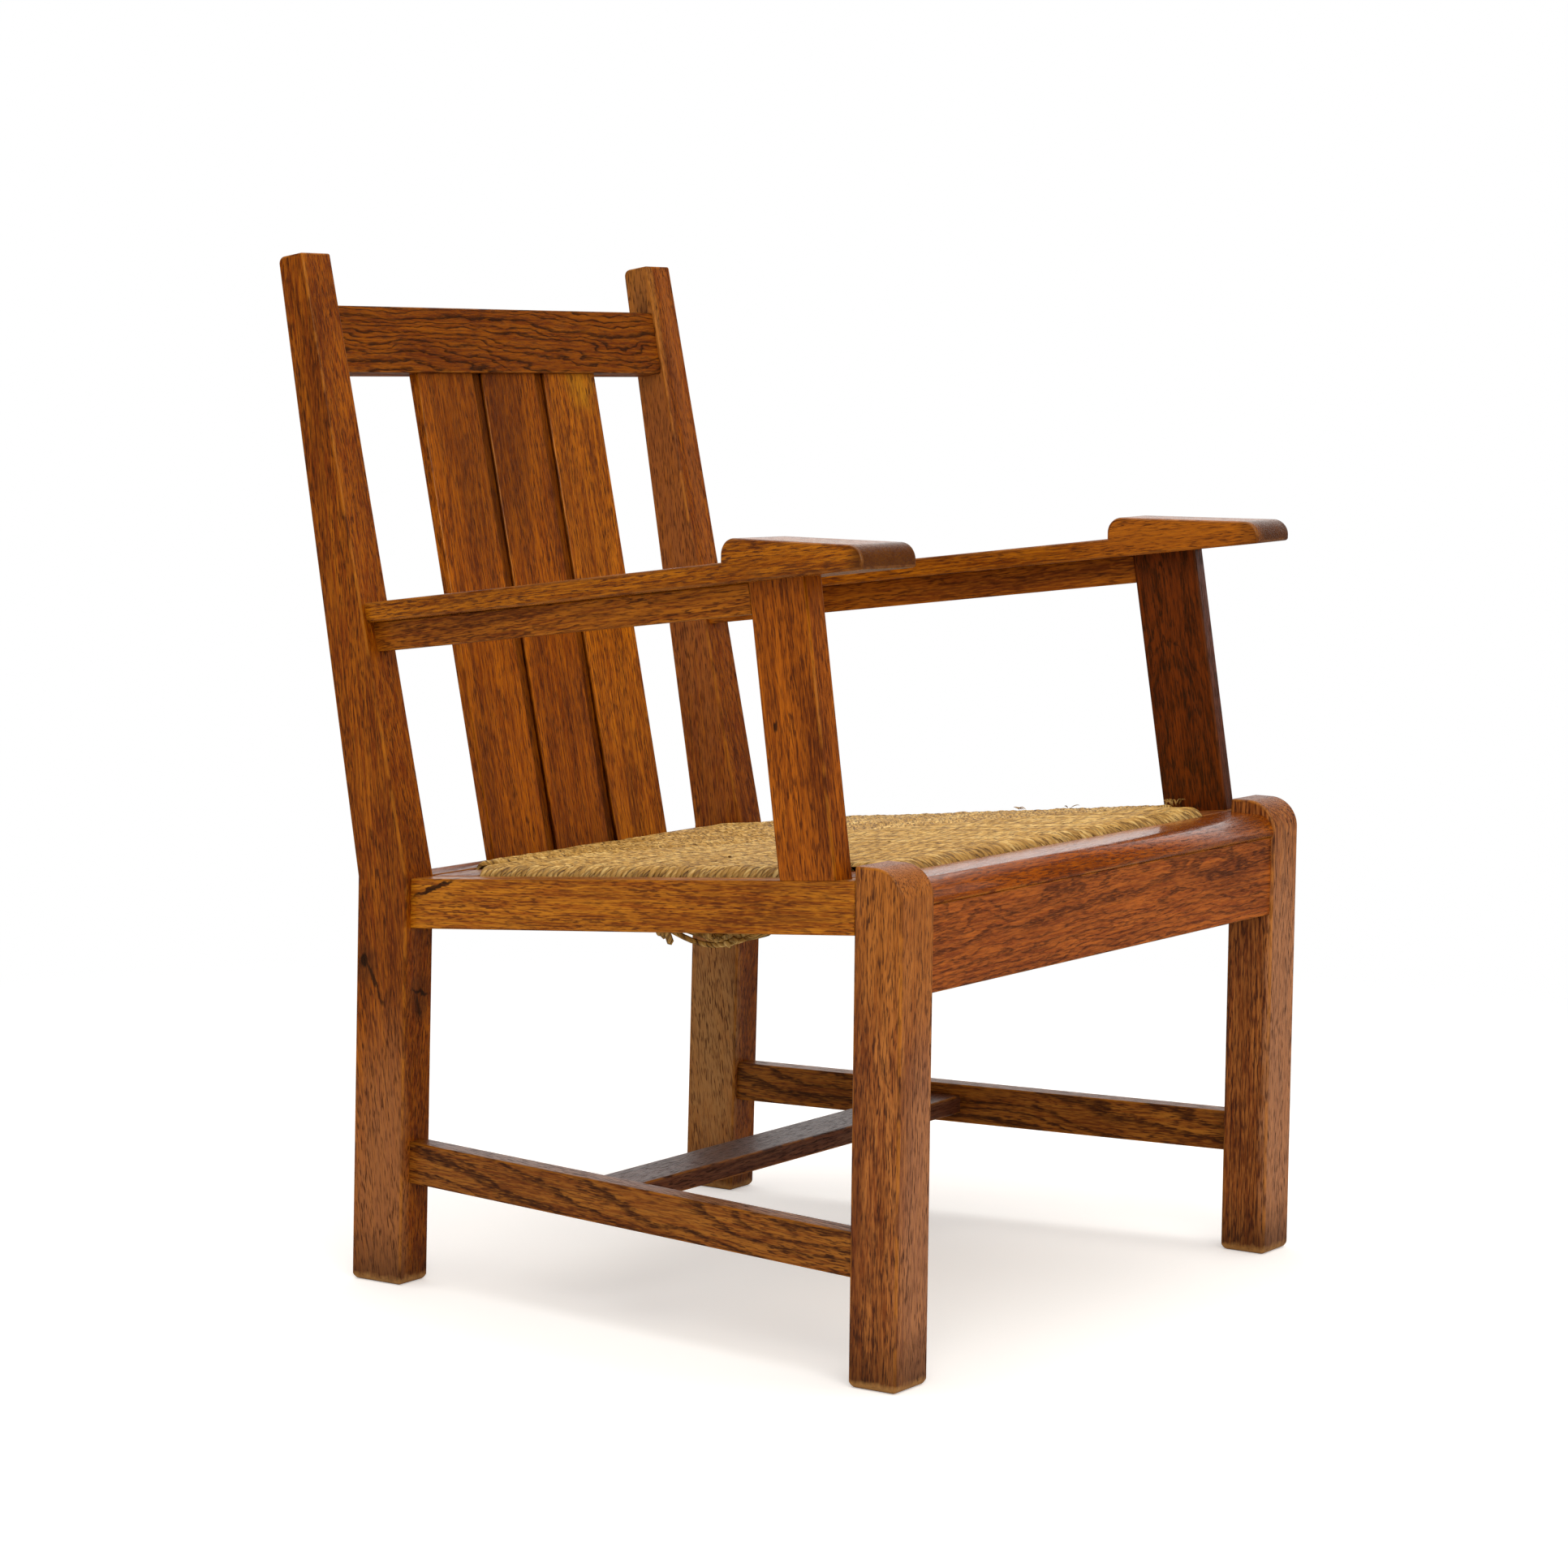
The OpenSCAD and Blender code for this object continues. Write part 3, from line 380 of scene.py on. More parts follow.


# ---- Rear posts ----------------------------------------------------------------
# Each is sawn to its bent shape from a wide board and runs from the floor to the top of the
# back: upright below the seat, raked above it and tapered. The grain runs straight through.

# The left post has a pale foot, a knot on its side and one round the corner on its front, each
# with a halo, a dark eye and a crack across it. The right post is pale at the foot, at the top
# and along its front and inner side; low on its inner side the paleness is partly painted light,
# lifting the shade under the seat.
knots = (((-0.268, 0.21, 0.06), (0.024, 0.06, 0.22), (0, 0, 0), "#a0683f", 0.62),
         ((-0.259, 0.233, 0.266), (0.02, 0.017, 0.024), (0, 0, 0), "#4c240e", 0.6),
         ((-0.259, 0.234, 0.267), (0.02, 0.006, 0.008), (0, 0, 0), "#170804", 0.95),
         ((-0.259, 0.222, 0.250), (0.02, 0.0022, 0.030), (-0.4, 0, 0), "#1e0b05", 0.85),
         ((-0.239, 0.191, 0.240), (0.017, 0.02, 0.026), (0, 0, 0), "#4c240e", 0.6),
         ((-0.238, 0.191, 0.243), (0.016, 0.02, 0.0022), (0, 0.3, 0), "#170804", 0.95),
         ((-0.242, 0.191, 0.232), (0.003, 0.02, 0.014), (0, -0.3, 0), "#170804", 0.8))
# The first patch is partly painted light on the inner side under the seat
pale_sides = (((0.208, 0.22, 0.14), (0.028, 0.08, 0.24), (0, 0, 0), "#b4824c", 0.85),
              ((0.223, 0.30, 0.86), (0.012, 0.08, 0.16), (0, 0, 0), "#a8702c", 0.5),
              ((0.245, 0.268, 0.72), (0.014, 0.016, 0.32), (-0.21, 0, 0), "#a25d2a", 0.35),
              ((0.217, 0.270, 0.64), (0.012, 0.07, 0.42), (-0.21, 0, 0), "#98592c", 0.55))
for node, seed, pith, marks in (("rear_post_left", 3, (0.09, 0.05, 0), knots),
                                ("rear_post_right", 4, (0.03, 0.08, 0), pale_sides)):
    post_oak = oak("oak_" + node, (0, 0.11, 1), middle(node), pith, "#a45807", "#7c3504", "#3e1501",
                   ring=2.2, seed=seed, figure=0.4, foot=True, marks=marks)
    eased(node, post_oak, 0.0018)


# ---- Seat rails, apron and nose bar ----------------------------------------------
# The side rails run out of square, from the wide front to the narrow back, and slope down.
# The apron is a deep board on edge between the front legs, with the rounded bar lying on it.

splay_turn = 0.14271
seat_slope = 0.09225
side_runs = {"left": Vector((splay_turn, 1, -seat_slope)).normalized(),
             "right": Vector((-splay_turn, 1, -seat_slope)).normalized()}
# A check runs slantwise in the left rail, where it enters the post
check = (((-0.2562, 0.164, 0.333), (0.03, 0.038, 0.0026), (-0.42, 0, 0), "#1a0904", 0.95),)
for side, seed, marks in (("left", 5, check), ("right", 6, ())):
    node = "side_seat_rail_" + side
    rail_oak = oak("oak_" + node, side_runs[side], middle(node), (0.02, 0, 0.09), "#c27716", "#994f0b",
                   "#562404", ring=2.4, seed=seed, figure=0.4, marks=marks)
    eased(node, rail_oak, 0.0012, side_runs[side])
# The apron's grain swings in broad waves; the bar is rubbed smooth and shines
for node, seed, pith, light, mid, dark, arris, looks in (
        ("rear_seat_rail", 7, (0, 0.08, 0.03), "#8e4811", "#6e3009", "#3a1304", 0.0012,
         {"figure": 0.5}),
        ("front_apron", 8, (0, 0.06, 0.06), "#b35e1a", "#8c400e", "#3a1305", 0.0012,
         {"ring": 3.6, "figure": 0.62, "waver": 13.0, "ripple": (48, 48, 14), "pored": 0.5}),
        ("nose_bar", 9, (0, 0.03, -0.09), "#ac5607", "#873b04", "#4a1902", 0.0020,
         {"figure": 0.3, "polish": 0.22, "coat": 0.5})):
    across_oak = oak("oak_" + node, (1, 0, 0), middle(node), pith, light, mid, dark, seed=seed, **looks)
    eased(node, across_oak, arris, Vector((1, 0, 0)))


# ---- Back ----------------------------------------------------------------------
# A dark crest rail with lively grain is tenoned between the posts. Three boards stand between
# it and the rear seat rail; in the gaps between them a tongue shows, set back and painted near
# black, as shade with some dirt.

crest_oak = oak("oak_crest_rail", (1, 0, 0), middle("crest_rail"), (0, 0.06, -0.05), "#904c02", "#6f3102",
                "#250900", ring=3.8, seed=10, lean=0.03, figure=0.92, waver=14, ripple=(48, 48, 14),
                pored=0.45)
eased("crest_rail", crest_oak, 0.0012, Vector((1, 0, 0)))


def in_groove(node):
    """Tells whether a face of a slat lies in a groove: a tongue's front or the wall beside it.
    It is sunk behind the slat's front, and isn't on one of the back's two outer edges."""
    outer_edge_m = 0.12
    sunk_m = 0.0007
    forward = [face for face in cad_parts[node].data.polygons if face.normal.y < -0.5]
    front = max(forward, key=lambda face: face.area)
    out, level = front.normal.copy(), front.normal.dot(front.center)
    return lambda face: (face.normal.dot(out) > -0.5 and abs(face.calc_center_median().x) < outer_edge_m
                         and out.dot(face.calc_center_median()) < level - sunk_m)


back_rake = Vector((0, 0.205, 1)).normalized()
glow_patch = (((0.100, 0.280, 0.741), (0.034, 0.010, 0.045), (-0.2, 0, 0), "#b87c08", 0.6),)
# Painted shade on the upper parts of the left and centre boards
painted_shade_top = (((-0.045, 0.28, 0.70), (0.10, 0.05, 0.20), (0, 0, 0), "#451e06", 0.38),)
for node, seed, light, mid, patches in (("back_slat_left", 11, "#ba6400", "#8a3f00", painted_shade_top),
                                        ("back_slat_centre", 12, "#b25f00", "#833a00", painted_shade_top),
                                        ("back_slat_right", 13, "#c46f06", "#944803", glow_patch)):
    slat_oak = oak("oak_" + node, back_rake, middle(node), (0.11, 0.05, 0), light, mid, "#3f1600",
                   ring=2.2, seed=seed, figure=0.35, warm="#5c260a", marks=patches)
    eased(node, slat_oak, 0.0010, back_rake, shade_and_dirt_faces=in_groove(node))


# ---- Stretchers ------------------------------------------------------------------
# A light bar low on each side, tenoned into leg and post, and a darker flat board across between
# them, tenoned into the bars. They are of the same varnished oak.

for side, turn, seed in (("left", splay_turn, 14), ("right", -splay_turn, 15)):
    node = "side_stretcher_" + side
    along = Vector((turn, 1, 0)).normalized()
    bar_oak = oak("oak_" + node, along, middle(node), (0.075, 0, 0.012), "#a3641f", "#804311", "#351306",
                  ring=3.8, seed=seed, lean=0.035, figure=0.85)
    eased(node, bar_oak, 0.0015, along)
cross_oak = oak("oak_cross_stretcher", (1, 0, 0), middle("cross_stretcher"), (0, 0.05, 0.07), "#69402a",
                "#50291c", "#2d0e06", ring=2.6, seed=16, figure=0.6)
eased("cross_stretcher", cross_oak, 0.0015, Vector((1, 0, 0)))


# ---- Arms ------------------------------------------------------------------------
# A wide board slopes down to the rear post; its front end is left thick as a pad for the hand,
# rounded all round. A rail runs under it and a flat upright carries it on the side rail.

# Behind the posts' fronts, where an arm is let into its post, no edge is rounded
post_front = 0.16
arm_slope = 0.157
lean_back = Vector((0, 0.1530, 0.9882))
# The far pad is rubbed golden and the near upright has a dent; the far upright is darker, partly from stain
# and partly as painted shade
golden_pad = ((0.264, -0.235, 0.612), (0.03, 0.15, 0.045), (0, 0, 0), "#b4661c", 0.45)
dent = ((-0.3086, -0.2035, 0.492), (0.012, 0.0022, 0.007), (0, 0, 0), "#200d06", 0.9)
for side, turn, seed, pad_marks, upright_marks, looks in (
        ("left", splay_turn, 17, [], [dent],
         {"light": "#b25d07", "mid": "#8a4103", "dark": "#461601", "figure": 0.4}),
        # The right upright's dark colours are partly stain and partly painted shade
        ("right", -splay_turn, 18, [golden_pad], [],
         {"light": "#6f2f04", "mid": "#4d1d02", "dark": "#240900", "figure": 0.5, "warm": "#381206",
          "worn_and_highlit": "#5e2c0c"})):
    along = Vector((turn, 1, -arm_slope)).normalized()
    low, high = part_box("arm_" + side)
    # Painted shade darkens the pad's front end, the face that looks forward
    painted_shade_tip = (((low.x + high.x) / 2, low.y, high.z), (0.2, 0.024, 0.06), (0, 0, 0), "#46240a", 0.85)
    arm_oak = oak("oak_arm_" + side, along, middle("arm_" + side), (0.02, 0, 0.09), "#b56a0d", "#8b4706",
                  "#4a1c03", ring=2.8, seed=seed, lean=0.02, figure=0.5, worn_and_highlit="#8a5422",
                  marks=[painted_shade_tip] + pad_marks, polish=0.24, coat=0.2)
    eased("arm_" + side, arm_oak, 0.0022, but=lambda point: point.y > post_front)
    rail_oak = oak("oak_arm_rail_" + side, along, middle("arm_rail_" + side), (0.09, 0, 0.02), "#ad6310",
                   "#84410a", "#471c03", ring=2.4, seed=seed + 2, figure=0.5)
    eased("arm_rail_" + side, rail_oak, 0.0012, along)
    up_oak = oak("oak_arm_support_" + side, lean_back, middle("arm_support_" + side), (0.08, 0.03, 0),
                 ring=2.6, seed=seed + 4, lean=0.02, marks=upright_marks, **looks)
    eased("arm_support_" + side, up_oak, 0.0018, lean_back)


# ---- Seat frame --------------------------------------------------------------------
# The rush is woven on a loose frame: four rails, with a square block left bare in each corner
# and flush with the side rails. It drops in on four glue blocks and lifts out again.

for node, seed in (("seat_block_front_left", 22), ("seat_block_rear_left", 25),
                   ("seat_block_front_right", 24), ("seat_block_rear_right", 27)):
    block_oak = oak("oak_" + node, (1, 0, 0), middle(node), (0, 0.04, -0.09), "#9a5628", "#7f431e",
                    "#5a2a12", ring=3.0, seed=seed, figure=0.4)
    eased(node, block_oak, 0.0010, body="seat")
for node, along, seed in (("seat_frame_front", Vector((1, 0, 0)), 31),
                          ("seat_frame_rear", Vector((1, 0, 0)), 32),
                          ("seat_frame_left", side_runs["left"], 33),
                          ("seat_frame_right", side_runs["right"], 34)):
    raw_oak = oak("oak_" + node, along, middle(node), (0.02, 0.02, -0.08), "#a9713c", "#8d5a2c",
                  "#5f3316", seed=seed)
    eased(node, raw_oak, 0.0010, along, body="seat")
for node, seed in (("glue_block_front_left", 35), ("glue_block_front_right", 36),
                   ("glue_block_rear_left", 37), ("glue_block_rear_right", 38)):
    raw_oak = oak("oak_" + node, (1, 0, 0), middle(node), (0, 0.05, -0.07), "#9c6534", "#804c25",
                  "#552b12", seed=seed)
    eased(node, raw_oak, 0.0008)


# ---- Rush seat ------------------------------------------------------------------------
# Rushes are twisted by hand into a two-ply cord, which goes over a rail, through the middle,
# and over the next rail, corner after corner. So the seat has four panels of parallel strands,
# wound round the frame's four rails, that meet in seams running in from the corners.

# Millimetres in the seat's own plane: u to the right, v back from the legs, w up. The plane
# slopes down to the back from the top of the rails, at the front legs' rear faces
slope = math.radians(5.2723)
legs_back = 42.0 - 325.2175
rail_top = 382.0
# The rush's front and back edges, the inner corners of the wooden blocks, and the ends of the
# long seam where the side panels meet the front and back ones
seat_v = (6.6, 472.9)
corners = {"front": (241.0, 57.0), "back": (174.5, 422.5)}
apex_u, apex_v = 34.0, 236.0
# The rush's top and underside, the radius where it rolls over a rail, and its crown
top_w, low_w, edge_round = 7.3, -29.3, 13.6
crown = 1.7
# A strand's half width and half height, and the distance from one to the next
half_wide, half_high, pitch_mm = 3.25, 3.0, 5.9


def in_room(u, v, w):
    """A point of the seat's plane in the room, in metres."""
    return Vector((u, legs_back + v * math.cos(slope) + w * math.sin(slope),
                   rail_top - v * math.sin(slope) + w * math.cos(slope))) / 1000


def side_edge(v):
    """Distance of the rush's side edge from the seat's middle, which shrinks towards the back."""
    return 291.9 - (v - 6.5) * 0.1427


def seam_u(v):
    """How far the side panel reaches in towards the middle at v."""
    u, edge = corners["front" if v < apex_v else "back"]
    return u + (apex_u - u) * (v - edge) / (apex_v - edge)


def seam_v(u, end):
    """Where the front or back panel ends at u."""
    corner_u, edge = corners[end]
    return apex_v if abs(u) < apex_u else edge + (apex_v - edge) * (corner_u - abs(u)) / (corner_u - apex_u)


def rise(u, v):
    """The seat's crown over its filling, nothing at the edges and whole 150 mm further in."""
    inside = min(side_edge(v) - abs(u), v - seat_v[0], seat_v[1] - v) - edge_round
    return crown * math.sin(math.pi / 2 * max(0.0, min(1.0, inside / 150)))


def panel(name, places, rail_at, reach, inward):
    """One panel: a strand at each place along its rail. rail_at gives the point of the rush's
    edge there, reach how far in the seam lies, and inward the way in."""
    # A strand's section is an arch of six faces that goes 104 degrees down on each side; its
    # grid has a row each 5.5 mm
    around, open_to, row_mm = 6, 104, 5.5
    bm = bmesh.new()
    strand = bm.verts.layers.float_vector.new("strand")
    rolled = bm.verts.layers.float.new("rolled")
    for number, k in enumerate(places):
        dice = random.Random("%s %d" % (name, number))
        # The strand's track comes out from between the layers, runs outwards on the underside,
        # rolls over the rail, runs in on the top and dips at the seam. Each point has its
        # distance from the edge, its height and how far the strand has turned over there
        inner = reach(k) + 2.5
        bend = edge_round - half_high
        low_line, top_line = low_w + half_high, top_w - half_high
        steps = max(2, round((inner - 6 - edge_round) / row_mm))
        quarter = [math.pi / 10 * s for s in range(6)]
        track = [(inner, low_line + 8, math.pi), (inner - 3, low_line + 3, math.pi)]
        track += [(inner - 6 - (inner - 6 - edge_round) * s / steps, low_line, math.pi) for s in range(steps)]
        track += [(edge_round - bend * math.sin(a), low_w + edge_round - bend * math.cos(a), math.pi - a)
                  for a in quarter]
        track += [(edge_round - bend * math.cos(a), top_w - edge_round + bend * math.sin(a), math.pi / 2 - a)
                  for a in quarter]
        track += [(edge_round + (inner - 5 - edge_round) * s / steps, top_line, 0.0)
                  for s in range(1, steps + 1)]
        track += [(inner - 1.5, top_line - 1.3, 0.0), (inner + 1.0, top_line - 5.0, 0.0)]
        tone, phase, fat = dice.random(), dice.random(), dice.uniform(0.93, 1.07)
        grid = bmesh.ops.create_grid(bm, x_segments=len(track) - 1, y_segments=around, size=0.5)["verts"]
        run, runs = 0.0, [0.0]
        for before, after in zip(track, track[1:]):
            run += math.hypot(after[0] - before[0], after[1] - before[1])
            runs.append(run)
        # Hand-twisted cord wanders by up to a millimetre and swells where a rush was added
        for vert in grid:
            i = round((vert.co.x + 0.5) * (len(track) - 1))
            j = round((vert.co.y + 0.5) * around)
            t, w, tilt = track[i]
            drift = 0.9 * noise.noise((number * 3.7, runs[i] * 0.018, phase * 9))
            swell = fat * (1 + 0.13 * noise.noise((number * 5.1, runs[i] * 0.07, phase * 7)))
            angle = math.radians(-open_to + 2 * open_to * j / around)
            edge_u, edge_v = rail_at(k + drift + half_wide * swell * math.sin(angle))
            u, v = edge_u + inward[0] * t, edge_v + inward[1] * t
            if w > 0:
                uneven = 0.7 * noise.noise((u * 0.02, v * 0.02, 4.0))
                w += rise(u, v) + uneven + 0.5 * noise.noise((number * 2.3, runs[i] * 0.03, 1.0))
            flatness = 0.6 if tilt < 0.8 and w > 0 else 0.9
            out = half_high * swell * math.copysign(abs(math.cos(angle)) ** flatness, math.cos(angle))
            u, v = u - inward[0] * out * math.sin(tilt), v - inward[1] * out * math.sin(tilt)
            vert.co = in_room(u, v, w + out * math.cos(tilt))
            vert[strand] = (runs[i] / 1000 + phase, j / around, tone)
            vert[rolled] = math.sin(tilt) if w > 0 or tilt < 3 else 1.0
    bmesh.ops.recalc_face_normals(bm, faces=bm.faces)
    for face in bm.faces:
        face.smooth = True
    mesh = bpy.data.meshes.new(name)
    bm.to_mesh(mesh)
    bm.free()
    piece = bpy.data.objects.new(name, mesh)
    bpy.context.scene.collection.objects.link(piece)
    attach(piece, "seat")
    return piece


def spaced(low, high):
    """Places along a rail from low to high, a strand's pitch apart."""
    count = round((high - low) / pitch_mm)
    return [low + (high - low) * (i + 0.5) / count for i in range(count)]


# Dried rush leaves, matt and golden, brown where hands and years have soiled the rolled edges
rush = bpy.data.materials.new("twisted_rush")
rush.use_nodes = True
tree = rush.node_tree
shader = tree.nodes["Principled BSDF"]
strand = add(tree, "Attribute", attribute_name="strand").outputs["Vector"]
run, around, tone = add(tree, "SeparateXYZ", {0: strand}).outputs
# Two plies, a full twist each 32 mm of cord, so that a ply crosses the top every 16 mm
twist = add(tree, "Math", {0: run, 1: 1000 / 16}, operation="MULTIPLY").outputs[0]
twist = add(tree, "Math", {0: around, 1: 0.9, 2: twist}, operation="MULTIPLY_ADD").outputs[0]
each = add(tree, "Math", {0: tone, 1: 57.0}, operation="MULTIPLY").outputs[0]
bends = add(tree, "CombineXYZ", {0: twist, 1: run, 2: each}).outputs[0]
slack = add(tree, "Mapping", {"Vector": bends, "Scale": (0.6, 45, 1)}).outputs[0]
slack = add(tree, "TexNoise", {"Vector": slack, "Scale": 1.0, "Detail": 2.0}).outputs[0]
wound = add(tree, "Math", {0: slack, 1: 0.7, 2: twist}, operation="MULTIPLY_ADD").outputs[0]
ply = add(tree, "Math", {0: wound}, operation="FRACT").outputs[0]
lobe = add(tree, "Math", {0: ply, 1: math.pi}, operation="MULTIPLY").outputs[0]
lobe = add(tree, "Math", {0: lobe}, operation="SINE").outputs[0]
lobe = add(tree, "Math", {0: lobe, 1: 0.4}, operation="POWER").outputs[0]
# Leaves 1.5 mm wide and some 30 mm long lie along each ply, with dark splits between some
leaf = add(tree, "Mapping", {"Vector": bends, "Scale": (5.5, 32, 1)}).outputs[0]
leaves = add(tree, "TexNoise", {"Vector": leaf, "Scale": 1.0, "Detail": 3.0, "Roughness": 0.6}).outputs[0]
split = add(tree, "Mapping", {"Vector": bends, "Location": (7, 3, 5), "Scale": (6.5, 48, 1)}).outputs[0]
splits = add(tree, "TexNoise", {"Vector": split, "Scale": 1.0, "Detail": 2.0}).outputs[0]
splits = add(tree, "ValToRGB", {0: splits}, [(0.60, 0.0), (0.67, 1.0)]).outputs[0]
place = add(tree, "TexCoord").outputs["Object"]
patches = add(tree, "TexNoise", {"Vector": place, "Scale": 30.0, "Detail": 3.0}).outputs[0]
shade = add(tree, "Math", {0: leaves, 1: 1.5}, operation="MULTIPLY").outputs[0]
shade = add(tree, "Math", {0: tone, 1: 0.22, 2: shade}, operation="MULTIPLY_ADD").outputs[0]
shade = add(tree, "Math", {0: patches, 1: 0.4, 2: shade}, operation="MULTIPLY_ADD").outputs[0]
straw = add(tree, "MapRange", {0: shade, 1: 0.6, 2: 1.5}).outputs[0]
straw = add(tree, "ValToRGB", {0: straw}, [(0.05, "#6e4a1a"), (0.30, "#aa7e34"), (0.55, "#cb9c4c"),
                                           (0.80, "#edc87c")]).outputs[0]
soil = add(tree, "Attribute", attribute_name="rolled").outputs["Fac"]
soil = add(tree, "Math", {0: soil, 1: 0.42}, operation="MULTIPLY").outputs[0]
straw = add(tree, "Mix", {0: soil, 6: straw, 7: linear("#6e4a1e")}, data_type="RGBA").outputs[2]
# Painted shade darkens the creases between the plies, and the dark splits join it
crease_shade_and_splits = add(tree, "MapRange", {0: lobe, 1: 0.40, 2: 0.80, 3: 0.62, 4: 0.0}).outputs[0]
crease_shade_and_splits = add(tree, "Math", {0: crease_shade_and_splits, 1: splits}, operation="MAXIMUM").outputs[0]
straw = add(tree, "Mix", {0: crease_shade_and_splits, 6: straw, 7: linear("#5a3a14")}, data_type="RGBA").outputs[2]
tree.links.new(straw, shader.inputs["Base Color"])
height = add(tree, "Math", {0: leaves, 1: 0.6, 2: lobe}, operation="MULTIPLY_ADD").outputs[0]
height = add(tree, "Math", {0: splits, 1: -0.6, 2: height}, operation="MULTIPLY_ADD").outputs[0]
relief = add(tree, "Bump", {"Height": height, "Strength": 0.9, "Distance": 0.0009}).outputs[0]
tree.links.new(relief, shader.inputs["Normal"])
shader.inputs["Roughness"].default_value = 0.55
shader.inputs["Specular IOR Level"].default_value = 0.3

# The side panels run from the front blocks to the rear ones, the others from side to side
front_u, front_v = corners["front"]
back_u, back_v = corners["back"]
panels = [
    panel("rush_panel_left", spaced(front_v, back_v), lambda k: (-side_edge(k), k),
          lambda k: side_edge(k) - seam_u(k), (1, 0)),
    panel("rush_panel_right", spaced(front_v, back_v), lambda k: (side_edge(k), k),
          lambda k: side_edge(k) - seam_u(k), (-1, 0)),
    panel("rush_panel_front", spaced(-front_u, front_u), lambda k: (k, seat_v[0]),
          lambda k: seam_v(k, "front") - seat_v[0], (0, 1)),
    panel("rush_panel_back", spaced(-back_u, back_u), lambda k: (k, seat_v[1]),
          lambda k: seat_v[1] - seam_v(k, "back"), (0, -1))]
for piece in panels:
    piece.data.materials.append(rush)
    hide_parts("rush_seat")


# ---- Loose rush -------------------------------------------------------------------------
# Under the seat some windings have come loose: a slack loop of cord, and torn leaves that hang
# below the left rail. A few broken ends stand up along the far edge and by the front corner.

def stalk(bm, line, width, thick, tone, face=(0.05, 0.02, 1), blunt=0.0):
    """A leaf or ply of rush along a line of points: flat, its broad side towards face, and
    pointed at both ends, or torn off square where blunt is near 1."""
    strand = bm.verts.layers.float_vector.get("strand") or bm.verts.layers.float_vector.new("strand")
    rolled = bm.verts.layers.float.get("rolled") or bm.verts.layers.float.new("rolled")
    around = 6
    last = len(line) - 1
    run = [0.0]
    for before, after in zip(line, line[1:]):
        run.append(run[-1] + (after - before).length)
    for vert in bmesh.ops.create_grid(bm, x_segments=last, y_segments=around, size=0.5)["verts"]:
        i, j = round((vert.co.x + 0.5) * last), round((vert.co.y + 0.5) * around)
        ahead = (line[min(i + 1, last)] - line[max(i - 1, 0)]).normalized()
        side = ahead.cross(Vector(face)).normalized()
        thin = 0.0 if i in (0, last) else 0.65 + 0.35 * blunt if i in (1, last - 1) else 1.0
        vert[strand] = (run[i] + tone, j / around, tone)
        vert[rolled] = 0.6
        angle = math.tau * j / around
        vert.co = line[i] + thin * (side * width / 2 * math.cos(angle) +
                                    side.cross(ahead) * thick / 2 * math.sin(angle))


def loose(name, bm):
    """Closes the leaves' seams and makes them one piece of the seat."""
    bmesh.ops.remove_doubles(bm, verts=bm.verts, dist=1e-6)
    bmesh.ops.recalc_face_normals(bm, faces=bm.faces)
    for face in bm.faces:
        face.smooth = True
    mesh = bpy.data.meshes.new(name)
    bm.to_mesh(mesh)
    bm.free()
    mesh.materials.append(rush)
    piece = bpy.data.objects.new(name, mesh)
    bpy.context.scene.collection.objects.link(piece)
    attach(piece, "seat")
    return piece


# The loop sags in an arc between two places under the left panel, and its ends are tucked in
# between the windings. Its five leaves are loosely twisted, within the solid's 9 mm: a
# full turn would take 34 steps of its line, which has 28
loop_u, loop_v, loop_w, loop_r, loop_half = -191.8, 208.0, -6.44, 50.56, math.radians(65.2)
steps, plies, steps_a_turn = 28, 5, 34
ply_out, ply_wide, ply_thick = 0.0027, 0.0038, 0.0036


def loop_arc(reach):
    """The loop's line in the room; a reach above 1 takes both of its ends further up."""
    angles = [reach * loop_half * (2 * s / steps - 1) for s in range(steps + 1)]
    return [in_room(loop_u + loop_r * math.sin(a), loop_v, loop_w - loop_r * math.cos(a)) for a in angles]


loop_line, tucked_line = loop_arc(1.0), loop_arc(1.08)
bm = bmesh.new()
for ply in range(plies):
    line = []
    for s, point in enumerate(tucked_line):
        a = math.tau * (ply / plies + s / steps_a_turn)
        ahead = (tucked_line[min(s + 1, steps)] - tucked_line[max(s - 1, 0)]).normalized()
        side = ahead.cross(Vector((0, 1, 0))).normalized()
        line.append(point + ply_out * (side * math.cos(a) + side.cross(ahead) * math.sin(a)))
    stalk(bm, line, ply_wide, ply_thick, 0.13 + 0.19 * ply)
rush_loop = loose("rush_loop", bm)
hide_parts("rush_tail")

bm = bmesh.new()
dice = random.Random(7)
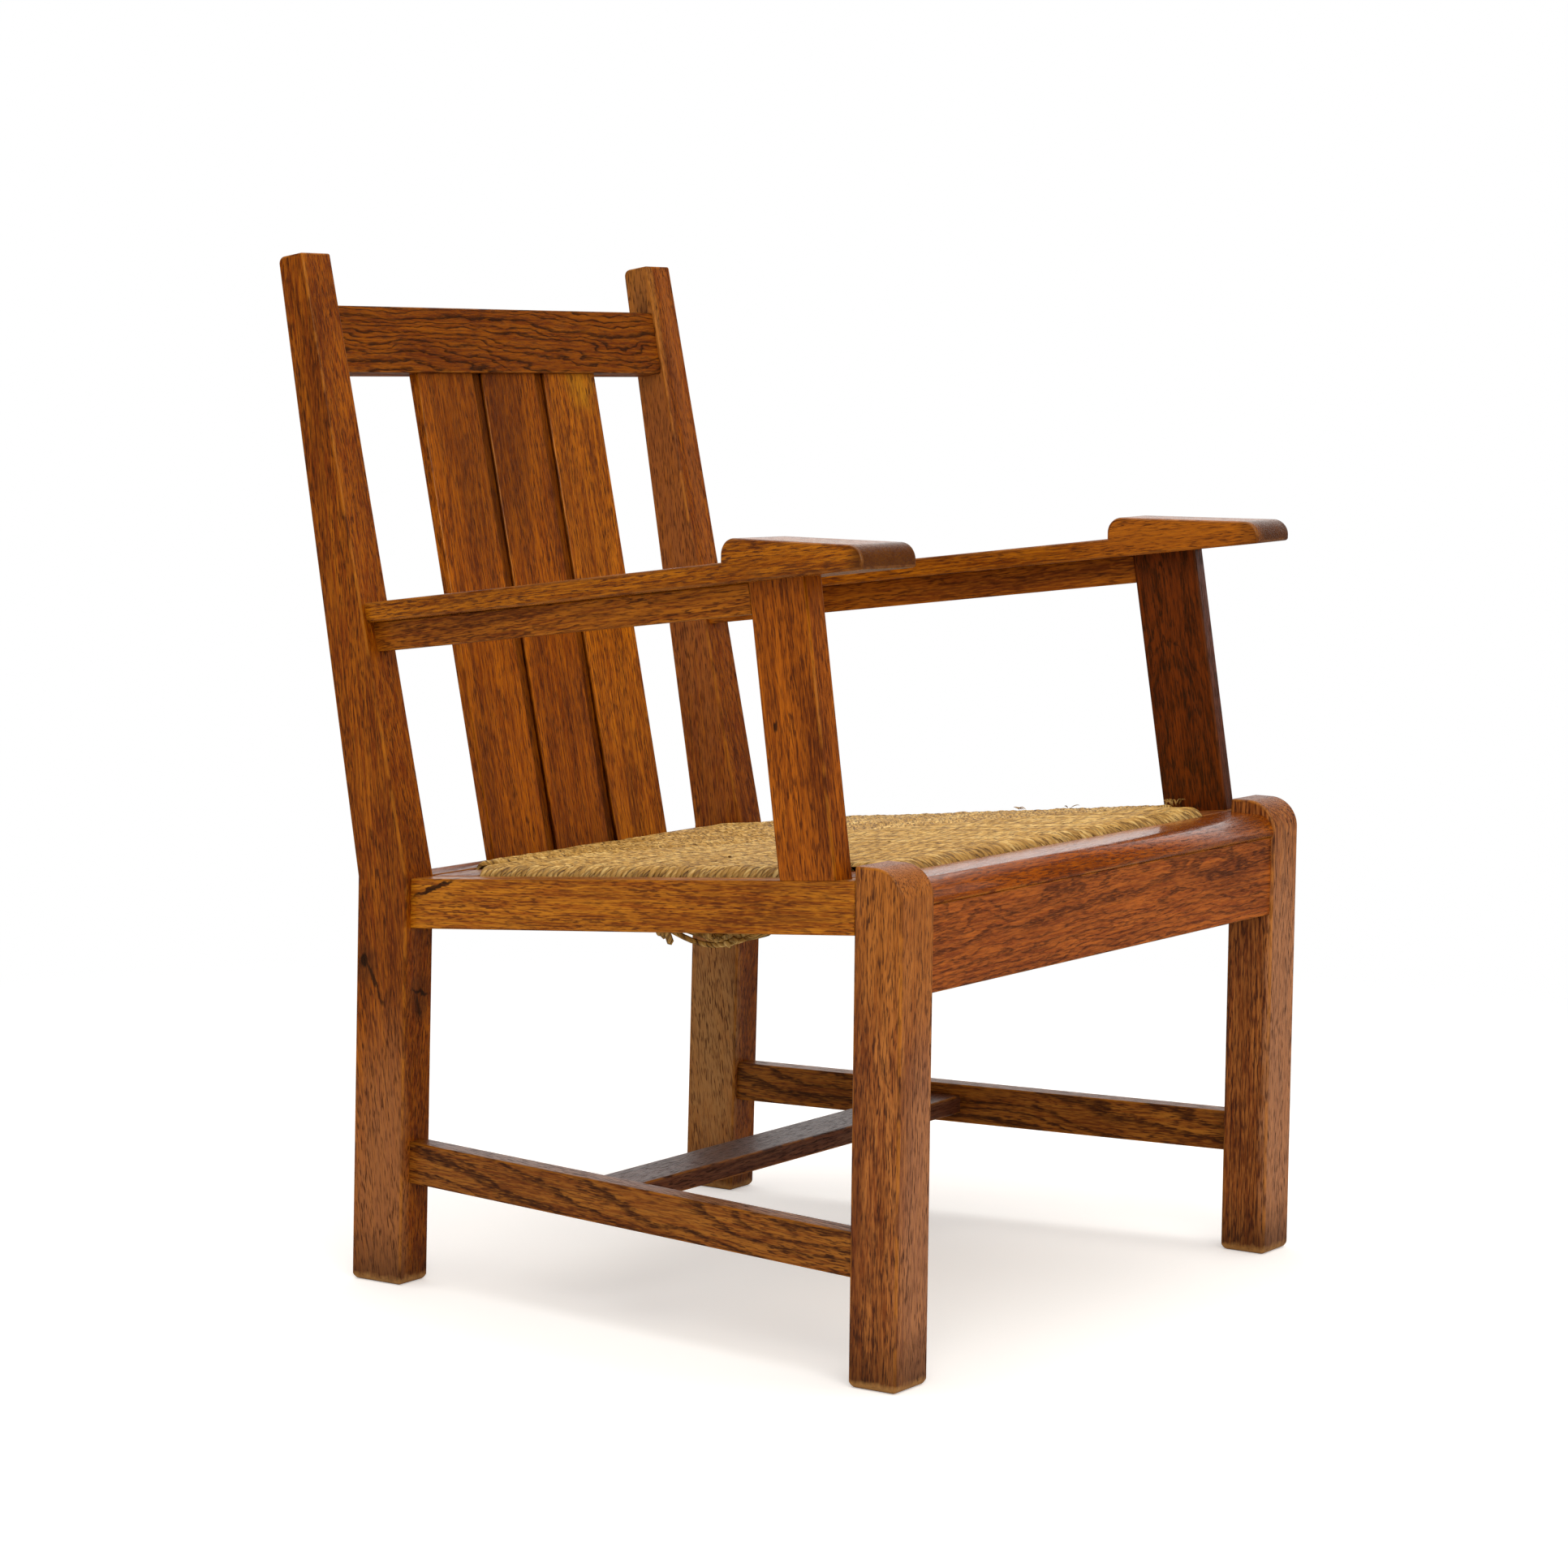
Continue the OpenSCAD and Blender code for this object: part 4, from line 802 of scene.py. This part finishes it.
# Two long torn leaves, a broad flap behind them, and a knot of scraps where they cross
for lift, width, sag in ((0.0, 4.5, 1.0), (5.0, 5.0, 0.74)):
    line = [in_room(-241.0 + lift + 2 * math.sin(t * 9), 247 - 127 * t,
                    -31 - 25 * sag * math.sin(math.pi * t) ** 0.8) for t in [s / 16 for s in range(17)]]
    stalk(bm, line, width / 1000, 0.0010, dice.random(), (-1, 0.2, 0.5))
line = [in_room(-240 + 4 * t, 180 - 54 * t, -50 + 8 * t * t) for t in [s / 10 for s in range(11)]]
stalk(bm, line, 0.010, 0.0014, 0.9, (-1, 0, 0.3))
for _ in range(9):
    start = Vector((-244 + dice.uniform(-2, 2), 175 + dice.uniform(-7, 5), -53 + dice.uniform(-3, 3)))
    end = start + Vector((dice.uniform(-3, 3), dice.uniform(-9, 9), dice.uniform(-6, 3)))
    line = [in_room(*(start + (end - start) * t + Vector((0, 0, 2 * math.sin(3 * t)))))
            for t in [s / 4 for s in range(5)]]
    stalk(bm, line, dice.uniform(0.004, 0.006), 0.0009, dice.random(),
          (-1, dice.uniform(-0.5, 0.5), 0.3), 0.8)
# Stubs of torn windings beside them
for start, end, width in (((-241, 231, -44), (-242, 226, -56), 6.5),
                          ((-241, 236, -45), (-240, 231, -50), 7),
                          ((-242, 237, -43), (-240, 240, -49), 5),
                          ((-243, 194, -46), (-243, 186, -49), 7)):
    start, end = Vector(start), Vector(end)
    line = [in_room(*(start + (end - start) * s / 6)) for s in range(7)]
    stalk(bm, line, width / 1000, 0.0012, dice.random(), (-1, 0, 0.2), 1.0)
# Broken ends: by the front right corner, along the far edge and a few on the open field, each
# with its place, its height and how far it rises from there
ends = [(281 - dice.uniform(0, 9), 56 + dice.uniform(-6, 6), 7.0, 6.0) for _ in range(9)]
ends += [(side_edge(v) - 14, v, 8.8, 2.6) for v in (148, 150, 189, 191, 193, 195)]
for _ in range(16):
    v = dice.uniform(60, 420)
    u = dice.uniform(-0.9, 0.9) * side_edge(v)
    ends.append((u, v, top_w + rise(u, v) + 0.6, 1.6))
for u, v, w, high in ends:
    turn, long = dice.uniform(0, math.tau), dice.uniform(5, 10)
    line = [in_room(u + long * t * math.cos(turn), v + long * t * math.sin(turn),
                    w - 1.5 + high * math.sin(2.2 * t)) for t in [s / 5 for s in range(6)]]
    stalk(bm, line, dice.uniform(0.0016, 0.0030), 0.0008, dice.random())
loose("rush_loose_ends", bm)
